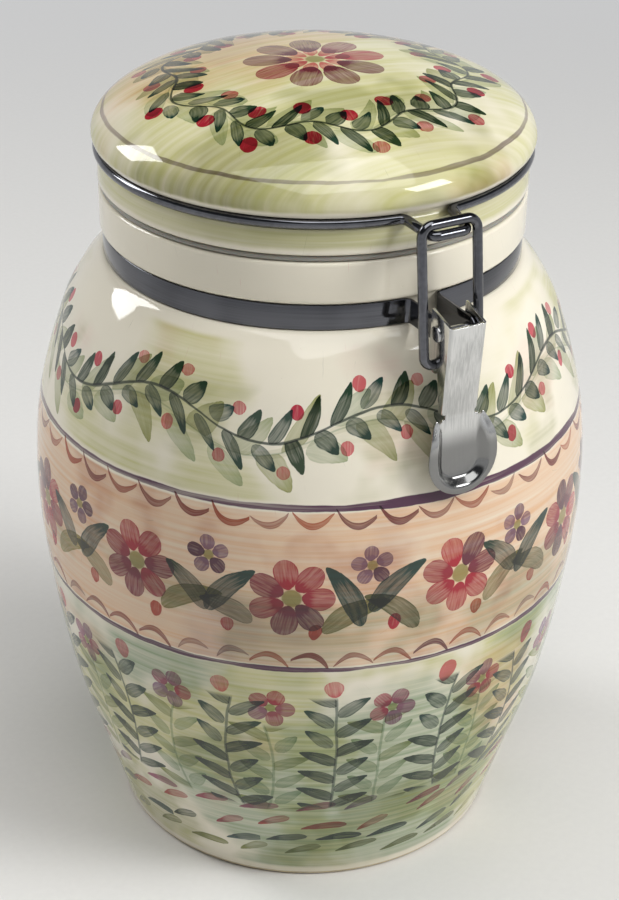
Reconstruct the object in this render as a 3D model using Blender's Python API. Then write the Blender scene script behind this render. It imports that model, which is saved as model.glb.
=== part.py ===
"""A clamp-top ceramic kitchen canister, at rest with its lid latched.

Metres, +Z up. The origin is the centre of the base. The latch is at the front (-Y) and the hinge at the
back (+Y). In the latch's plane, "out" is the distance from the canister's axis and "up" is the height.
"""

from math import acos, asin, atan2, cos, pi, radians, sin, sqrt, tan, tau

import bmesh
import bpy
from mathutils import Vector

# Fits shared by all the pieces
fit_gap = 0.0003
pivot_gap = 0.0002
cut_overrun = 0.002
weld_distance = 0.000001
sharp_angle = radians(38)
round_segments = 56
small_segments = 16
bend_steps = 5
edge_steps = 3

# Jar: its outline is a flank that swells from the base to the belly, and a shoulder that closes to the neck
base_radius = 0.0624
belly_radius = 0.0876
belly_height = 0.1188
shoulder_height = 0.1971
neck_inset = 0.0002
collar_radius = 0.0650
collar_height = 0.0129
neck_wall = 0.0056
wall = 0.0055
floor_thickness = 0.0065
floor_fillet = 0.0060
foot_round = 0.0015
foot_width = 0.0070
foot_recess = 0.0015
rim_round = 0.0012
collar_round = 0.0014
shoulder_edge = 0.0008
flank_shares = [(0.0, 0.0), (0.20, 0.290), (0.466, 0.662), (0.75, 0.896), (1.0, 1.0)]
shoulder_shares = [(0.0, 0.0), (0.374, 0.083), (0.75, 0.447), (0.90, 0.72), (1.0, 1.0)]
flank_steps = 9
shoulder_steps = 8
inner_flank_steps = 5
inner_shoulder_steps = 5

# Neck band: a steel strap in the groove under the collar, its two ends turned out as ears for the lever
band_height = 0.0076
band_thickness = 0.0008
band_inset = 0.0008
band_run = 0.0060
ear_play = 0.0003
ear_bend = 0.0020
ear_end_sweep = radians(80)
ear_end_steps = 6

# Seal
seal_thickness = 0.0015
seal_round = 0.0005

# Lid
skirt_overhang = 0.0002
skirt_round = 0.0010
edge_overhang = 0.0015
edge_over_wire = 0.0045
dome_height = 0.0208
wire_seat_rise = 0.0096
wire_seat_depth = 0.0004
wire_seat_steps = 7
skirt_steps = 2
under_edge_share = 0.25
lid_wall = 0.0060
plug_play = 0.0045
plug_taper = 0.0015
plug_depth = 0.0060
plug_wall = 0.0060
dome_steps = 9
fullness_share = 0.65
hollow_steps = 6

# Lid wire: a ring seated in the lid's groove, with a beak at the front and two hinge legs at the back
lid_wire_radius = 0.0015
beak_reach = 0.0118
beak_flare = 0.0019
beak_drop = 0.0015
beak_play = 0.0004
wire_bend = 0.0026
wire_bend_lead = 0.0030
wire_ring_steps = 24
hinge_leg_clearance = 0.0015
hinge_offset = 0.0080

# Hinge bracket: a stamped U riveted to the back of the band
bracket_thickness = 0.0010
bracket_bend = 0.0012
bracket_bend_steps = 4
rivet_radius = 0.0010
rivet_head_radius = 0.0019
rivet_head_height = 0.0009
rivet_dome_steps = 4
rivet_gap = 0.0022
rivet_margin = 0.0004

# Lever pin
pin_radius = 0.0015
pin_head_radius = 0.0024
pin_head_height = 0.0008
pin_head_gap = 0.0001

# Lever: one steel stamping, a channel above and a dished thumb spoon below
sheet = 0.0008
lever_width = 0.0118
lever_corner = 0.0010
web_clearance = 0.0020
face_top_rise = 0.0040
face_length = 0.0284
face_tilt = radians(5.0)
crank_drop = 0.0099
crank_set = 0.0012
lobe_margin = 0.0010
shoulder_clearance = 0.0076
flange_corner_rise = 0.0067
flange_corner_inset = 0.0032
lobe_end = radians(315)
lobe_steps = 6
narrow_flange = 0.0024
notch = 0.0014
relief_radius = 0.0008
pad_length = 0.0190
pad_inset = 0.0003
pad_corner = 0.0040
pad_corner_steps = 7
thumb_clearance = 0.0030
spoon_width = 0.0230
dish_width = 0.0052
dish_rise = 0.0026
dish_shares = (0.0, 0.30, 0.70, 1.0)
dish_rise_shares = (0.0, 0.22, 0.78, 1.0)
wing_overhang = 0.0021
full_depth_share = 0.60
wing_steps = 5

# Link: the wire loop that the lever pulls down over the beak
link_wire_radius = 0.00145
link_corner = 0.0034
link_hook_bend = 0.0028
leg_clearance = 0.0008
nose_overhang = 0.0009

# Places worked out from the sizes above
groove_height = band_height + 2 * fit_gap
collar_bottom = shoulder_height + groove_height
rim_height = collar_bottom + collar_height
neck_radius = collar_radius - neck_inset
band_outer = collar_radius - band_inset
band_inner = band_outer - band_thickness
groove_radius = band_inner - fit_gap
mouth_radius = groove_radius - neck_wall
band_middle = shoulder_height + fit_gap + band_height / 2
seal_bottom = rim_height + fit_gap
lid_bottom = seal_bottom + seal_thickness + fit_gap
plug_radius = mouth_radius - plug_play
skirt_radius = collar_radius + skirt_overhang
lid_radius = skirt_radius + edge_overhang
wire_up = lid_bottom + wire_seat_rise
wire_seat_radius = skirt_radius - wire_seat_depth
wire_seat_groove = lid_wire_radius + fit_gap
lid_edge_up = wire_up + edge_over_wire
rivet_half_spacing = rivet_head_radius + rivet_gap / 2
bracket_x = rivet_half_spacing + rivet_head_radius + rivet_margin + bracket_bend
bracket_half_width = bracket_x + bracket_thickness / 2
hinge_leg_half_width = bracket_half_width + hinge_leg_clearance + lid_wire_radius
hinge_out = band_outer + hinge_offset
hinge_up = band_middle
pin_up = band_middle
link_pivot_up = pin_up - crank_drop
lever_half = lever_width / 2
web_half = lever_half - lever_corner
face_offset = band_height / 2 + web_clearance + sheet
ear_x = lever_half - sheet - ear_play - band_thickness / 2
link_half_width = lever_half + pin_head_gap + pin_head_height + leg_clearance + link_wire_radius
beak_half_width = link_half_width - link_wire_radius - beak_play - lid_wire_radius
beak_root_half_width = beak_half_width + beak_flare
beak_tip_out = wire_seat_radius + beak_reach
bar_out = beak_tip_out - nose_overhang
bar_up = wire_up - beak_drop + lid_wire_radius + fit_gap + link_wire_radius
spoon_half = spoon_width / 2
widest_along = pad_length + dish_width - spoon_half
pad_half = lever_half - pad_inset
link_hole_radius = link_wire_radius + pivot_gap
pin_hole_radius = pin_radius + pivot_gap
lobe_radius = link_hole_radius + lobe_margin


def body_outline(base, belly, neck):
    """Stations (height, radius) of the canister's side, from three (height, radius) places."""
    stations = []
    for (up0, r0), (up1, r1), shares in ((base, belly, flank_shares), (belly, neck, shoulder_shares)):
        stations += [(up0 + (up1 - up0) * along, r0 + (r1 - r0) * across) for along, across in shares]
    middle = len(flank_shares)
    return stations[:middle] + stations[middle + 1 :]


def radius_at(stations, up):
    """Radius at a height, on a smooth curve through the stations."""
    last = len(stations) - 1
    i = next((k for k in range(last) if up <= stations[k + 1][0]), last - 1)

    def slope(k):
        (up0, r0), (up1, r1) = stations[max(k - 1, 0)], stations[min(k + 1, last)]
        return (r1 - r0) / (up1 - up0)

    (up0, r0), (up1, r1) = stations[i], stations[i + 1]
    span = up1 - up0
    t = (up - up0) / span
    rise = (2 * t**3 - 3 * t**2 + 1) * r0 + (3 * t**2 - 2 * t**3) * r1
    return rise + span * ((t**3 - 2 * t**2 + t) * slope(i) + (t**3 - t**2) * slope(i + 1))


outside = body_outline((0, base_radius), (belly_height, belly_radius), (shoulder_height, neck_radius))
link_pivot_out = radius_at(outside, link_pivot_up) + shoulder_clearance + lobe_radius
pin_out = link_pivot_out + crank_set


def between(low, high, steps):
    """Evenly spaced values from low to high, both included."""
    return [low + (high - low) * k / steps for k in range(steps + 1)]


def arc(centre, radius, start, end, steps):
    """Points of an arc in a plane, from one angle to another in radians."""
    return [(centre[0] + radius * cos(a), centre[1] + radius * sin(a)) for a in between(start, end, steps)]


def rounded_path(corners, radius):
    """A 3D path through the corners, each inner corner turned with the same bend radius."""
    points = [Vector(corners[0])]
    for before, corner, after in zip(corners, corners[1:], corners[2:]):
        corner = Vector(corner)
        into = (Vector(before) - corner).normalized()
        away = (Vector(after) - corner).normalized()
        half = into.angle(away) / 2
        middle = (into + away).normalized()
        centre = corner + middle * (radius / sin(half))
        start = corner + into * (radius / tan(half)) - centre
        end = corner + away * (radius / tan(half)) - centre
        turn = start.angle(end)
        for share in between(0, 1, bend_steps):
            points.append(centre + (start * sin((1 - share) * turn) + end * sin(share * turn)) / sin(turn))
    points.append(Vector(corners[-1]))
    return points


def finish(name, colour, roughness, metallic=0.0):
    """A Principled material."""
    material = bpy.data.materials.new(name)
    material.use_nodes = True
    shader = material.node_tree.nodes["Principled BSDF"]
    shader.inputs["Base Color"].default_value = (*colour, 1.0)
    shader.inputs["Roughness"].default_value = roughness
    shader.inputs["Metallic"].default_value = metallic
    return material


def put(name, data, material, parent=None):
    """Adds an object at its parent's place, holding the mesh or curve."""
    data.materials.append(material)
    obj = bpy.data.objects.new(name, data)
    bpy.context.scene.collection.objects.link(obj)
    obj.parent = parent
    return obj


def mesh_object(name, bm, material, parent=None):
    mesh = bpy.data.meshes.new(name)
    bm.to_mesh(mesh)
    bm.free()
    mesh.shade_smooth()
    mesh.set_sharp_from_angle(angle=sharp_angle)
    return put(name, mesh, material, parent)


def turned(profile, segments=round_segments, closed=False):
    """A solid of revolution about Z. An open profile starts and ends on the axis."""
    bm = bmesh.new()
    verts = [bm.verts.new((r, 0, up)) for r, up in profile]
    pairs = list(zip(verts, verts[1:])) + ([(verts[-1], verts[0])] if closed else [])
    edges = [bm.edges.new(pair) for pair in pairs]
    bmesh.ops.spin(bm, geom=verts + edges, axis=(0, 0, 1), angle=tau, steps=segments)
    bmesh.ops.remove_doubles(bm, verts=bm.verts, dist=weld_distance)
    bmesh.ops.recalc_face_normals(bm, faces=bm.faces)
    return bm


def axis_empty(name, out, up):
    """An empty on a joint's axis, in the latch's plane."""
    empty = bpy.data.objects.new(name, None)
    empty.location = (0, -out, up)
    bpy.context.scene.collection.objects.link(empty)
    return empty


def wire_object(name, points, radius, sides, material, parent=None):
    """A bent wire: a tube along points given in the object's own frame."""
    curve = bpy.data.curves.new(name, "CURVE")
    curve.dimensions = "3D"
    curve.bevel_depth = radius
    curve.bevel_resolution = sides // 2 - 2
    curve.use_fill_caps = True
    spline = curve.splines.new("POLY")
    spline.points.add(len(points) - 1)
    for place, point in zip(spline.points, points):
        place.co = (*point, 1.0)
    return put(name, curve, material, parent)


def cross_hole(target, name, out, up, radius, half_length):
    """Cuts a round hole along X through the target, at a place in the latch's plane."""
    drill(target, name, radius, half_length, (0, -out, up), (0, pi / 2, 0))


def drill(target, name, radius, half_length, place, turn):
    """Subtracts a round cutter, which rides with its target, at a place in the world."""
    bm = bmesh.new()
    bmesh.ops.create_cone(
        bm, cap_ends=True, segments=small_segments, radius1=radius, radius2=radius, depth=2 * half_length
    )
    mesh = bpy.data.meshes.new(name)
    bm.to_mesh(mesh)
    bm.free()
    cutter = bpy.data.objects.new(name, mesh)
    cutter.parent = target
    cutter.location = Vector(place) - (target.parent.location if target.parent else Vector())
    cutter.rotation_euler = turn
    cutter.hide_render = True
    cutter.display_type = "WIRE"
    bpy.context.scene.collection.objects.link(cutter)
    cut = target.modifiers.new(name, "BOOLEAN")
    cut.operation = "DIFFERENCE"
    cut.solver = "EXACT"
    cut.object = cutter


def strap_object(name, stations, thickness, material):
    """A sheet strip on edge. Stations are (x, y, half height) along its middle line, in plan."""
    bm = bmesh.new()
    rows = [
        (bm.verts.new((x, y, band_middle - half)), bm.verts.new((x, y, band_middle + half)))
        for x, y, half in stations
    ]
    for (low0, high0), (low1, high1) in zip(rows, rows[1:]):
        bm.faces.new((low0, low1, high1, high0))
    bmesh.ops.recalc_face_normals(bm, faces=bm.faces)
    strap = mesh_object(name, bm, material)
    thicken(strap, thickness, 0)
    return strap


def thicken(obj, thickness, offset):
    solidify = obj.modifiers.new("Thickness", "SOLIDIFY")
    solidify.thickness = thickness
    solidify.offset = offset
    solidify.use_even_offset = True


def ear_end(x, pivot_y):
    """Stations that close an ear in a half round about its pivot, going outwards along Y."""
    half = band_height / 2
    sign = 1 if pivot_y > 0 else -1
    angles = between(0, ear_end_sweep, ear_end_steps)
    return [(x, pivot_y + sign * half * sin(a), half * cos(a)) for a in angles]


# Jar body: floor, inner wall, rolled rim, collar, band groove, shoulder, flank and foot
def jar_body(material):
    inner_base = (floor_thickness, base_radius - wall)
    inner_neck = (shoulder_height - wall, mouth_radius)
    inside = body_outline(inner_base, (belly_height, belly_radius - wall), inner_neck)
    fillet_up = floor_thickness + floor_fillet
    fillet_centre = (radius_at(inside, fillet_up) - floor_fillet, fillet_up)
    profile = [(0, floor_thickness)]
    profile += arc(fillet_centre, floor_fillet, -pi / 2, 0, edge_steps)[:-1]
    profile += [(radius_at(inside, up), up) for up in between(fillet_up, belly_height, inner_flank_steps)]
    profile += [
        (radius_at(inside, up), up)
        for up in between(belly_height, inner_neck[0], inner_shoulder_steps)[1:]
    ]
    rim_round_up = rim_height - rim_round
    collar_round_place = (collar_radius - collar_round, collar_bottom + collar_round)
    profile += arc((mouth_radius + rim_round, rim_round_up), rim_round, pi, pi / 2, edge_steps)
    profile += arc((collar_radius - rim_round, rim_round_up), rim_round, pi / 2, 0, edge_steps)
    profile += arc(collar_round_place, collar_round, 0, -pi / 2, edge_steps)
    profile += [(groove_radius, collar_bottom), (groove_radius, shoulder_height)]
    profile += [(neck_radius - shoulder_edge, shoulder_height)]
    top = shoulder_height - shoulder_edge
    profile += [(radius_at(outside, up), up) for up in between(top, belly_height, shoulder_steps)]
    foot_top = (radius_at(outside, foot_round), foot_round)
    profile += [(radius_at(outside, up), up) for up in between(belly_height, foot_round, flank_steps)[1:-1]]
    profile += arc((foot_top[0] - foot_round, foot_round), foot_round, 0, -pi / 2, edge_steps)
    foot_inner = base_radius - foot_round - foot_width
    profile += [(foot_inner, 0), (foot_inner - foot_recess, foot_recess), (0, foot_recess)]
    return mesh_object("jar_body", turned(profile), material)


# Lid: dome, widest edge, wire groove, skirt, tapered plug and the hollow under the dome
def lid(material, hinge):
    plug_bottom = lid_bottom - plug_depth
    hollow_radius = plug_radius - plug_taper - plug_wall
    hollow_top = lid_edge_up + dome_height - lid_wall
    seat_lip = sqrt(wire_seat_groove**2 - (skirt_radius - wire_seat_radius) ** 2)
    lip_angle = atan2(seat_lip, skirt_radius - wire_seat_radius)
    hollow_height = hollow_top - plug_bottom
    profile = [
        (hollow_radius * sin(a) ** fullness_share, plug_bottom + hollow_height * cos(a) ** fullness_share)
        for a in between(0, pi / 2, hollow_steps)
    ]
    profile += [(plug_radius - plug_taper, plug_bottom), (plug_radius, lid_bottom)]
    skirt_place = (skirt_radius - skirt_round, lid_bottom + skirt_round)
    profile += arc(skirt_place, skirt_round, -pi / 2, 0, skirt_steps)
    profile += [(skirt_radius, wire_up - wire_seat_groove - fit_gap)]
    seat = (wire_seat_radius, wire_up)
    profile += arc(seat, wire_seat_groove, -pi / 2, lip_angle - tau, wire_seat_steps)
    under_edge_up = (wire_up + seat_lip + lid_edge_up) / 2
    profile += [(lid_radius - edge_overhang * under_edge_share, under_edge_up)]
    dome = between(0, pi / 2, dome_steps)
    profile += [(lid_radius * cos(a), lid_edge_up + dome_height * sin(a)) for a in dome[:-1]]
    profile += [(0, lid_edge_up + dome_height)]
    bm = turned(profile)
    bmesh.ops.translate(bm, verts=bm.verts, vec=-hinge.location)
    return mesh_object("lid", bm, material, hinge)


# Seal: a flat ring round the plug, between the rim and the lid's skirt
def seal(material, hinge):
    inner = plug_radius + fit_gap
    outer = collar_radius - seal_round
    low, high = seal_bottom, seal_bottom + seal_thickness
    profile = [(inner, low), (inner, high), (outer - seal_round, high), (outer, high - seal_round)]
    profile += [(outer, low + seal_round), (outer - seal_round, low)]
    bm = turned(profile, closed=True)
    bmesh.ops.translate(bm, verts=bm.verts, vec=-hinge.location)
    return mesh_object("lid_seal", bm, material, hinge)


# Neck band: an arc round the neck, a straight run at each end, a bend, and the ears
def neck_band(material):
    middle = band_outer - band_thickness / 2
    half = band_height / 2
    leave = asin((ear_x + band_run) / middle)
    sweep = between(leave, pi, round_segments // 2)
    side = [(middle * sin(a), -middle * cos(a), half) for a in sweep]
    side.reverse()
    tangent_rise = tan(leave) * (middle * sin(leave) - ear_x)
    corner = (ear_x, -middle * cos(leave) - tangent_rise, 0)
    turn = rounded_path([side[-1][:2] + (0,), corner, (ear_x, -pin_out, 0)], ear_bend)
    side += [(p.x, p.y, half) for p in turn[1:-1]]
    side += ear_end(ear_x, -pin_out)
    other = [(-x, y, h) for x, y, h in side[1:]]
    other.reverse()
    band = strap_object("neck_band", other + side, band_thickness, material)
    cross_hole(band, "lever_pin_bore", pin_out, pin_up, pin_hole_radius, ear_x + cut_overrun)
    for name, angle in rivet_places():
        radial_hole(band, name + "_band_hole", angle, band_outer)
    return band


def rivet_places():
    angle = asin(rivet_half_spacing / band_outer)
    return (("bracket_rivet_left", -angle), ("bracket_rivet_right", angle))


def radial_hole(target, name, angle, radius):
    """A rivet's clearance hole at the back, at an angle from +Y towards +X."""
    place = (radius * sin(angle), radius * cos(angle), band_middle)
    drill(target, name, rivet_radius + pivot_gap, cut_overrun, place, (-pi / 2, 0, -angle))


# Hinge bracket: a back plate curved to the band, with an ear at each side for the wire's end
def hinge_bracket(material):
    middle = band_outer + fit_gap + bracket_thickness / 2
    half = band_height / 2
    leave = asin((bracket_x - bracket_bend) / (middle + bracket_bend))
    plate = [(middle * sin(a), middle * cos(a), half) for a in between(0, leave, edge_steps)]
    bend_centre = (bracket_x - bracket_bend, (middle + bracket_bend) * cos(leave))
    turn = arc(bend_centre, bracket_bend, -pi / 2 - leave, 0, bracket_bend_steps)
    side = plate[:-1] + [(x, y, half) for x, y in turn] + ear_end(bracket_x, hinge_out)
    other = [(-x, y, h) for x, y, h in side[1:]]
    other.reverse()
    bracket = strap_object("hinge_bracket", other + side, bracket_thickness, material)
    wire_hole = lid_wire_radius + pivot_gap
    cross_hole(bracket, "hinge_wire_bore", -hinge_out, hinge_up, wire_hole, bracket_x + cut_overrun)
    for name, angle in rivet_places():
        radial_hole(bracket, name + "_bracket_hole", angle, middle)
    return bracket


def bracket_rivet(name, angle, material):
    """A domed rivet whose shank runs through the bracket and the band."""
    under_head = band_outer + fit_gap + bracket_thickness + fit_gap
    shank_end = band_inner - under_head
    dome = arc((0, 0), 1, 0, pi / 2, rivet_dome_steps)
    profile = [(0, shank_end), (rivet_radius, shank_end), (rivet_radius, 0), (rivet_head_radius, 0)]
    profile += [(rivet_head_radius * x, rivet_head_height * y) for x, y in dome[1:-1]]
    profile += [(0, rivet_head_height)]
    rivet = mesh_object(name, turned(profile, small_segments), material)
    rivet.location = (under_head * sin(angle), under_head * cos(angle), band_middle)
    rivet.rotation_euler = (-pi / 2, 0, -angle)
    return rivet


# Lid wire: one wire from hinge end to hinge end, round both sides of the lid and out to the beak
def lid_wire(material, hinge):
    front = asin((beak_root_half_width + wire_bend_lead) / wire_seat_radius)
    back = asin((hinge_leg_half_width + wire_bend_lead) / wire_seat_radius)
    ring = [
        Vector((wire_seat_radius * sin(a), -wire_seat_radius * cos(a), wire_up))
        for a in between(front, pi - back, wire_ring_steps)
    ]
    beak_up = wire_up - beak_drop
    front_corner = ring[0] + wire_bend_lead * Vector((-cos(front), -sin(front), 0))
    nose_corner = Vector((beak_half_width, -beak_tip_out, beak_up))
    nose_middle = Vector((0, -beak_tip_out, beak_up))
    beak = rounded_path([ring[0], front_corner, nose_corner, nose_middle], wire_bend)
    back_corner = ring[-1] + wire_bend_lead * Vector((-cos(back), sin(back), 0))
    knee = Vector((back_corner.x, hinge_out, wire_up))
    heel = Vector((back_corner.x, hinge_out, hinge_up))
    end = Vector((bracket_half_width - bracket_thickness - fit_gap, hinge_out, hinge_up))
    leg = rounded_path([ring[-1], back_corner, knee, heel, end], wire_bend)
    half = beak[:0:-1] + ring + leg[1:]
    mirrored = [Vector((-p.x, p.y, p.z)) for p in half[1:]]
    points = [p - hinge.location for p in mirrored[::-1] + half]
    return wire_object("lid_wire", points, lid_wire_radius, 8, material, hinge)


# Lever pin: a plain shank through the ears and the lever, peened to a thin head at each end
def lever_pin(material):
    half = lever_half + pin_head_gap
    tip = half + pin_head_height
    profile = [(0, -tip), (pin_radius, -tip), (pin_head_radius, -half - pin_head_height / 2)]
    profile += [(pin_head_radius, -half), (pin_radius, -half)]
    profile += [(r, -up) for r, up in reversed(profile)]
    pin = mesh_object("lever_pin", turned(profile, small_segments), material)
    pin.location = (0, -pin_out, pin_up)
    pin.rotation_euler = (0, pi / 2, 0)
    return pin


# Latch lever: the outer faces as a sheet, thickened inwards, then drilled for its pin and the link
def latch_lever(material, pivot):
    tilt = Vector((sin(face_tilt), cos(face_tilt)))
    foot = Vector((pin_out + face_offset, pin_up)) - tilt * (face_length - face_top_rise)
    head = foot + tilt * face_length
    foot_edge = foot + tilt * notch / 2
    bm = bmesh.new()
    channel_faces(bm, head, foot, foot_edge)
    spoon_faces(bm, foot)
    bmesh.ops.remove_doubles(bm, verts=bm.verts, dist=weld_distance)
    bmesh.ops.recalc_face_normals(bm, faces=bm.faces)
    if max(bm.faces, key=lambda face: abs(face.normal.y) * face.calc_area()).normal.y > 0:
        bmesh.ops.reverse_faces(bm, faces=bm.faces)
    lever = mesh_object("latch_lever", bm, material, pivot)
    thicken(lever, sheet, -1)
    reach = lever_half + cut_overrun
    cross_hole(lever, "lever_pin_hole", pin_out, pin_up, pin_hole_radius, reach)
    cross_hole(lever, "link_hole", link_pivot_out, link_pivot_up, link_hole_radius, reach)
    for name, sign in (("left_relief", -1), ("right_relief", 1)):
        place = (sign * (lever_half + relief_radius), -foot.x, foot.y - notch / 2)
        drill(lever, name, relief_radius, cut_overrun, place, (pi / 2, 0, 0))
    return lever


def lever_point(side, place):
    """A point of the lever in its own frame, whose origin is on the lever pin."""
    return Vector((side, pin_out - place.x, place.y - pin_up))


def sheet_face(bm, points):
    return bm.faces.new([bm.verts.new(point) for point in points])


def channel_faces(bm, head, foot, foot_edge):
    """The channel's web, its two bent corners and its two flanges, each with a lobe for the link."""
    for top, bottom in ((head, foot_edge), (foot_edge, foot)):
        ends = ((-web_half, top), (web_half, top), (web_half, bottom), (-web_half, bottom))
        sheet_face(bm, [lever_point(side, place) for side, place in ends])
    bend = arc((web_half, -lever_corner), lever_corner, pi / 2, 0, edge_steps)
    flange = flange_outline(foot_edge)
    for sign in (-1, 1):
        for (side0, back0), (side1, back1) in zip(bend, bend[1:]):
            top = ((side0, head + Vector((back0, 0))), (side1, head + Vector((back1, 0))))
            bottom = ((side1, foot_edge + Vector((back1, 0))), (side0, foot_edge + Vector((back0, 0))))
            sheet_face(bm, [lever_point(sign * side, place) for side, place in top + bottom])
        corner = Vector((-lever_corner, 0))
        outline = [head + corner] + flange + [foot_edge + corner]
        sheet_face(bm, [lever_point(sign * lever_half, place) for place in outline])


def flange_outline(foot_edge):
    """The flange's rear edge, from its raised top corner, round the link's lobe, to the narrow end."""
    top_corner = Vector((pin_out - flange_corner_inset, pin_up + flange_corner_rise))
    waist = Vector((link_pivot_out - lobe_radius, (pin_up + link_pivot_up) / 2))
    lobe = arc((link_pivot_out, link_pivot_up), lobe_radius, pi, lobe_end, lobe_steps)
    return [top_corner, waist, *(Vector(point) for point in lobe), foot_edge - Vector((narrow_flange, 0))]


def spoon_faces(bm, foot):
    """The thumb spoon: a flat pad, with a dish wall rising to the lip on three sides."""
    pad_up = foot.y - pad_length
    pad_foot = Vector((radius_at(outside, pad_up) + thumb_clearance, pad_up))
    down = (pad_foot - foot).normalized()
    outward = Vector((-down.y, down.x))

    def place(side, along, rise=0):
        return lever_point(side, foot + down * along + outward * rise)

    def ring(share, rise_share):
        points = []
        for near, far in zip(pad_outline(), lip_outline()):
            side, along = (low + (high - low) * share for low, high in zip(near, far))
            depth_share = min(max(far[1] / (full_depth_share * widest_along), 0), 1)
            points.append(place(side, along, dish_rise * rise_share * depth_share))
        return points

    rings = [ring(share, rise_share) for share, rise_share in zip(dish_shares, dish_rise_shares)]
    for low, high in zip(rings, rings[1:]):
        for k in range(len(low) - 1):
            sheet_face(bm, (low[k], low[k + 1], high[k + 1], high[k]))
    sheet_face(bm, rings[0] + [place(web_half, 0), place(-web_half, 0)])


def both_sides(half):
    """A line across the lever from left to right, made from its right half, which starts in the middle."""
    return [(-side, along) for side, along in reversed(half[1:])] + half


def pad_outline():
    """The pad's edge from wing to wing, as (side, distance below the kink)."""
    straight = pad_length - pad_corner
    corner = arc((pad_half - pad_corner, straight), pad_corner, pi / 2, 0, pad_corner_steps)
    sides = [(pad_half, along) for along in between(straight, notch / 2, wing_steps)[1:-1]]
    return both_sides([(0, pad_length), *corner, *sides, (web_half, notch / 2)])


def lip_outline():
    """The lip's edge: a half round at the tip that draws in towards the wings."""
    wing_angle = acos((lever_half + wing_overhang) / spoon_half)
    upper = (widest_along - notch / 2) / sin(wing_angle)
    angles = between(pi / 2, -wing_angle, pad_corner_steps + wing_steps + 1)
    return both_sides(
        [(spoon_half * cos(a), widest_along + (spoon_half if a > 0 else upper) * sin(a)) for a in angles]
    )


# Latch link: a wire loop, open below, whose two ends hook into the lever's flanges
def latch_link(material, pivot):
    hook_end = lever_half - 2 * sheet
    foot = Vector((link_half_width, -link_pivot_out, link_pivot_up))
    head = Vector((link_half_width, -bar_out, bar_up))
    inside_end = Vector((hook_end, foot.y, foot.z))
    hook = rounded_path([inside_end, foot, head], link_hook_bend)
    top = rounded_path([foot, head, Vector((0, head.y, head.z))], link_corner)
    half = top[1:][::-1] + hook[::-1][1:]
    mirrored = [Vector((-p.x, p.y, p.z)) for p in half[1:]]
    points = [p - pivot.location for p in mirrored[::-1] + half]
    return wire_object("latch_link", points, link_wire_radius, 10, material, pivot)


def main():
    for obj in list(bpy.data.objects):
        bpy.data.objects.remove(obj, do_unlink=True)
    glaze = finish("glazed_ceramic", (0.80, 0.76, 0.62), 0.08)
    lid_glaze = finish("lid_glaze", (0.70, 0.72, 0.42), 0.08)
    silicone = finish("silicone", (0.55, 0.55, 0.53), 0.45)
    steel = finish("polished_steel", (0.62, 0.62, 0.64), 0.12, metallic=1.0)
    satin = finish("satin_steel", (0.68, 0.68, 0.68), 0.25, metallic=1.0)
    lid_hinge = axis_empty("lid_hinge_axis", -hinge_out, hinge_up)
    lever_pivot = axis_empty("lever_pivot_axis", pin_out, pin_up)
    link_pivot = axis_empty("link_pivot_axis", link_pivot_out, link_pivot_up)
    jar_body(glaze)
    lid(lid_glaze, lid_hinge)
    seal(silicone, lid_hinge)
    neck_band(steel)
    hinge_bracket(steel)
    for name, angle in rivet_places():
        bracket_rivet(name, angle, satin)
    lid_wire(steel, lid_hinge)
    lever_pin(satin)
    latch_lever(satin, lever_pivot)
    latch_link(steel, link_pivot)


main()
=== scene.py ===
from math import acos, asin, atan2, cos, pi, radians, sin, sqrt, tan, tau

import bmesh
import bpy
from mathutils import Euler, Matrix, Vector


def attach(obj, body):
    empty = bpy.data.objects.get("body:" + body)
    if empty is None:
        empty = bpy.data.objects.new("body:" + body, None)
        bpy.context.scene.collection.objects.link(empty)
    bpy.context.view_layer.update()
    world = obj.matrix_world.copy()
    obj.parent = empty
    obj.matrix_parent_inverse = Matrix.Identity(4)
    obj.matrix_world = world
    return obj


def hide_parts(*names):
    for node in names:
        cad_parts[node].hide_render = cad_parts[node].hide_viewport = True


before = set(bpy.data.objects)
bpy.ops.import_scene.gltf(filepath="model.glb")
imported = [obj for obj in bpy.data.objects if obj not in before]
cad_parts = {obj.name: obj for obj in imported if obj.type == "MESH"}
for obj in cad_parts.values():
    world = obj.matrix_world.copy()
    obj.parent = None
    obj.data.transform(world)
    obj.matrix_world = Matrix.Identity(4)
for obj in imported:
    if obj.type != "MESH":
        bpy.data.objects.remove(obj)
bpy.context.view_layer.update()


# Jar: slip-cast white clay, painted by hand under a clear glaze and fired on its bare foot ring.
# It is turned from one outline, from under the base up its outside, over the rim and down its inside.
# A groove under the plain collar takes the steel band.
base_radius = 0.0624
belly_radius = 0.0876
belly_height = 0.1188
shoulder_height = 0.1971
collar_radius = 0.0650
neck_radius = 0.0648
groove_radius = 0.0631
groove_height = 0.0082
collar_height = 0.0129
mouth_radius = 0.0575
wall = 0.0055
floor_thickness = 0.0065
floor_fillet = 0.0060
foot_round = 0.0015
foot_width = 0.0070
foot_recess = 0.0015
rim_round = 0.0012
collar_round = 0.0014
shoulder_edge = 0.0008
flank_shares = [(0.0, 0.0), (0.20, 0.290), (0.466, 0.662), (0.75, 0.896), (1.0, 1.0)]
shoulder_shares = [(0.0, 0.0), (0.374, 0.083), (0.75, 0.447), (0.90, 0.72), (1.0, 1.0)]
collar_bottom = shoulder_height + groove_height
rim_height = collar_bottom + collar_height
sharp_angle = radians(38)
merge_distance = 1e-6
turn_steps, outside_steps, inside_steps, round_steps = 192, 130, 80, 6


def between(low, high, steps):
    """Evenly spaced values from low to high, both included."""
    return [low + (high - low) * k / steps for k in range(steps + 1)]


def arc(centre, radius, start, end, steps):
    """Points of an arc in a plane, from one angle to another."""
    return [(centre[0] + radius * cos(a), centre[1] + radius * sin(a)) for a in between(start, end, steps)]


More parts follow.
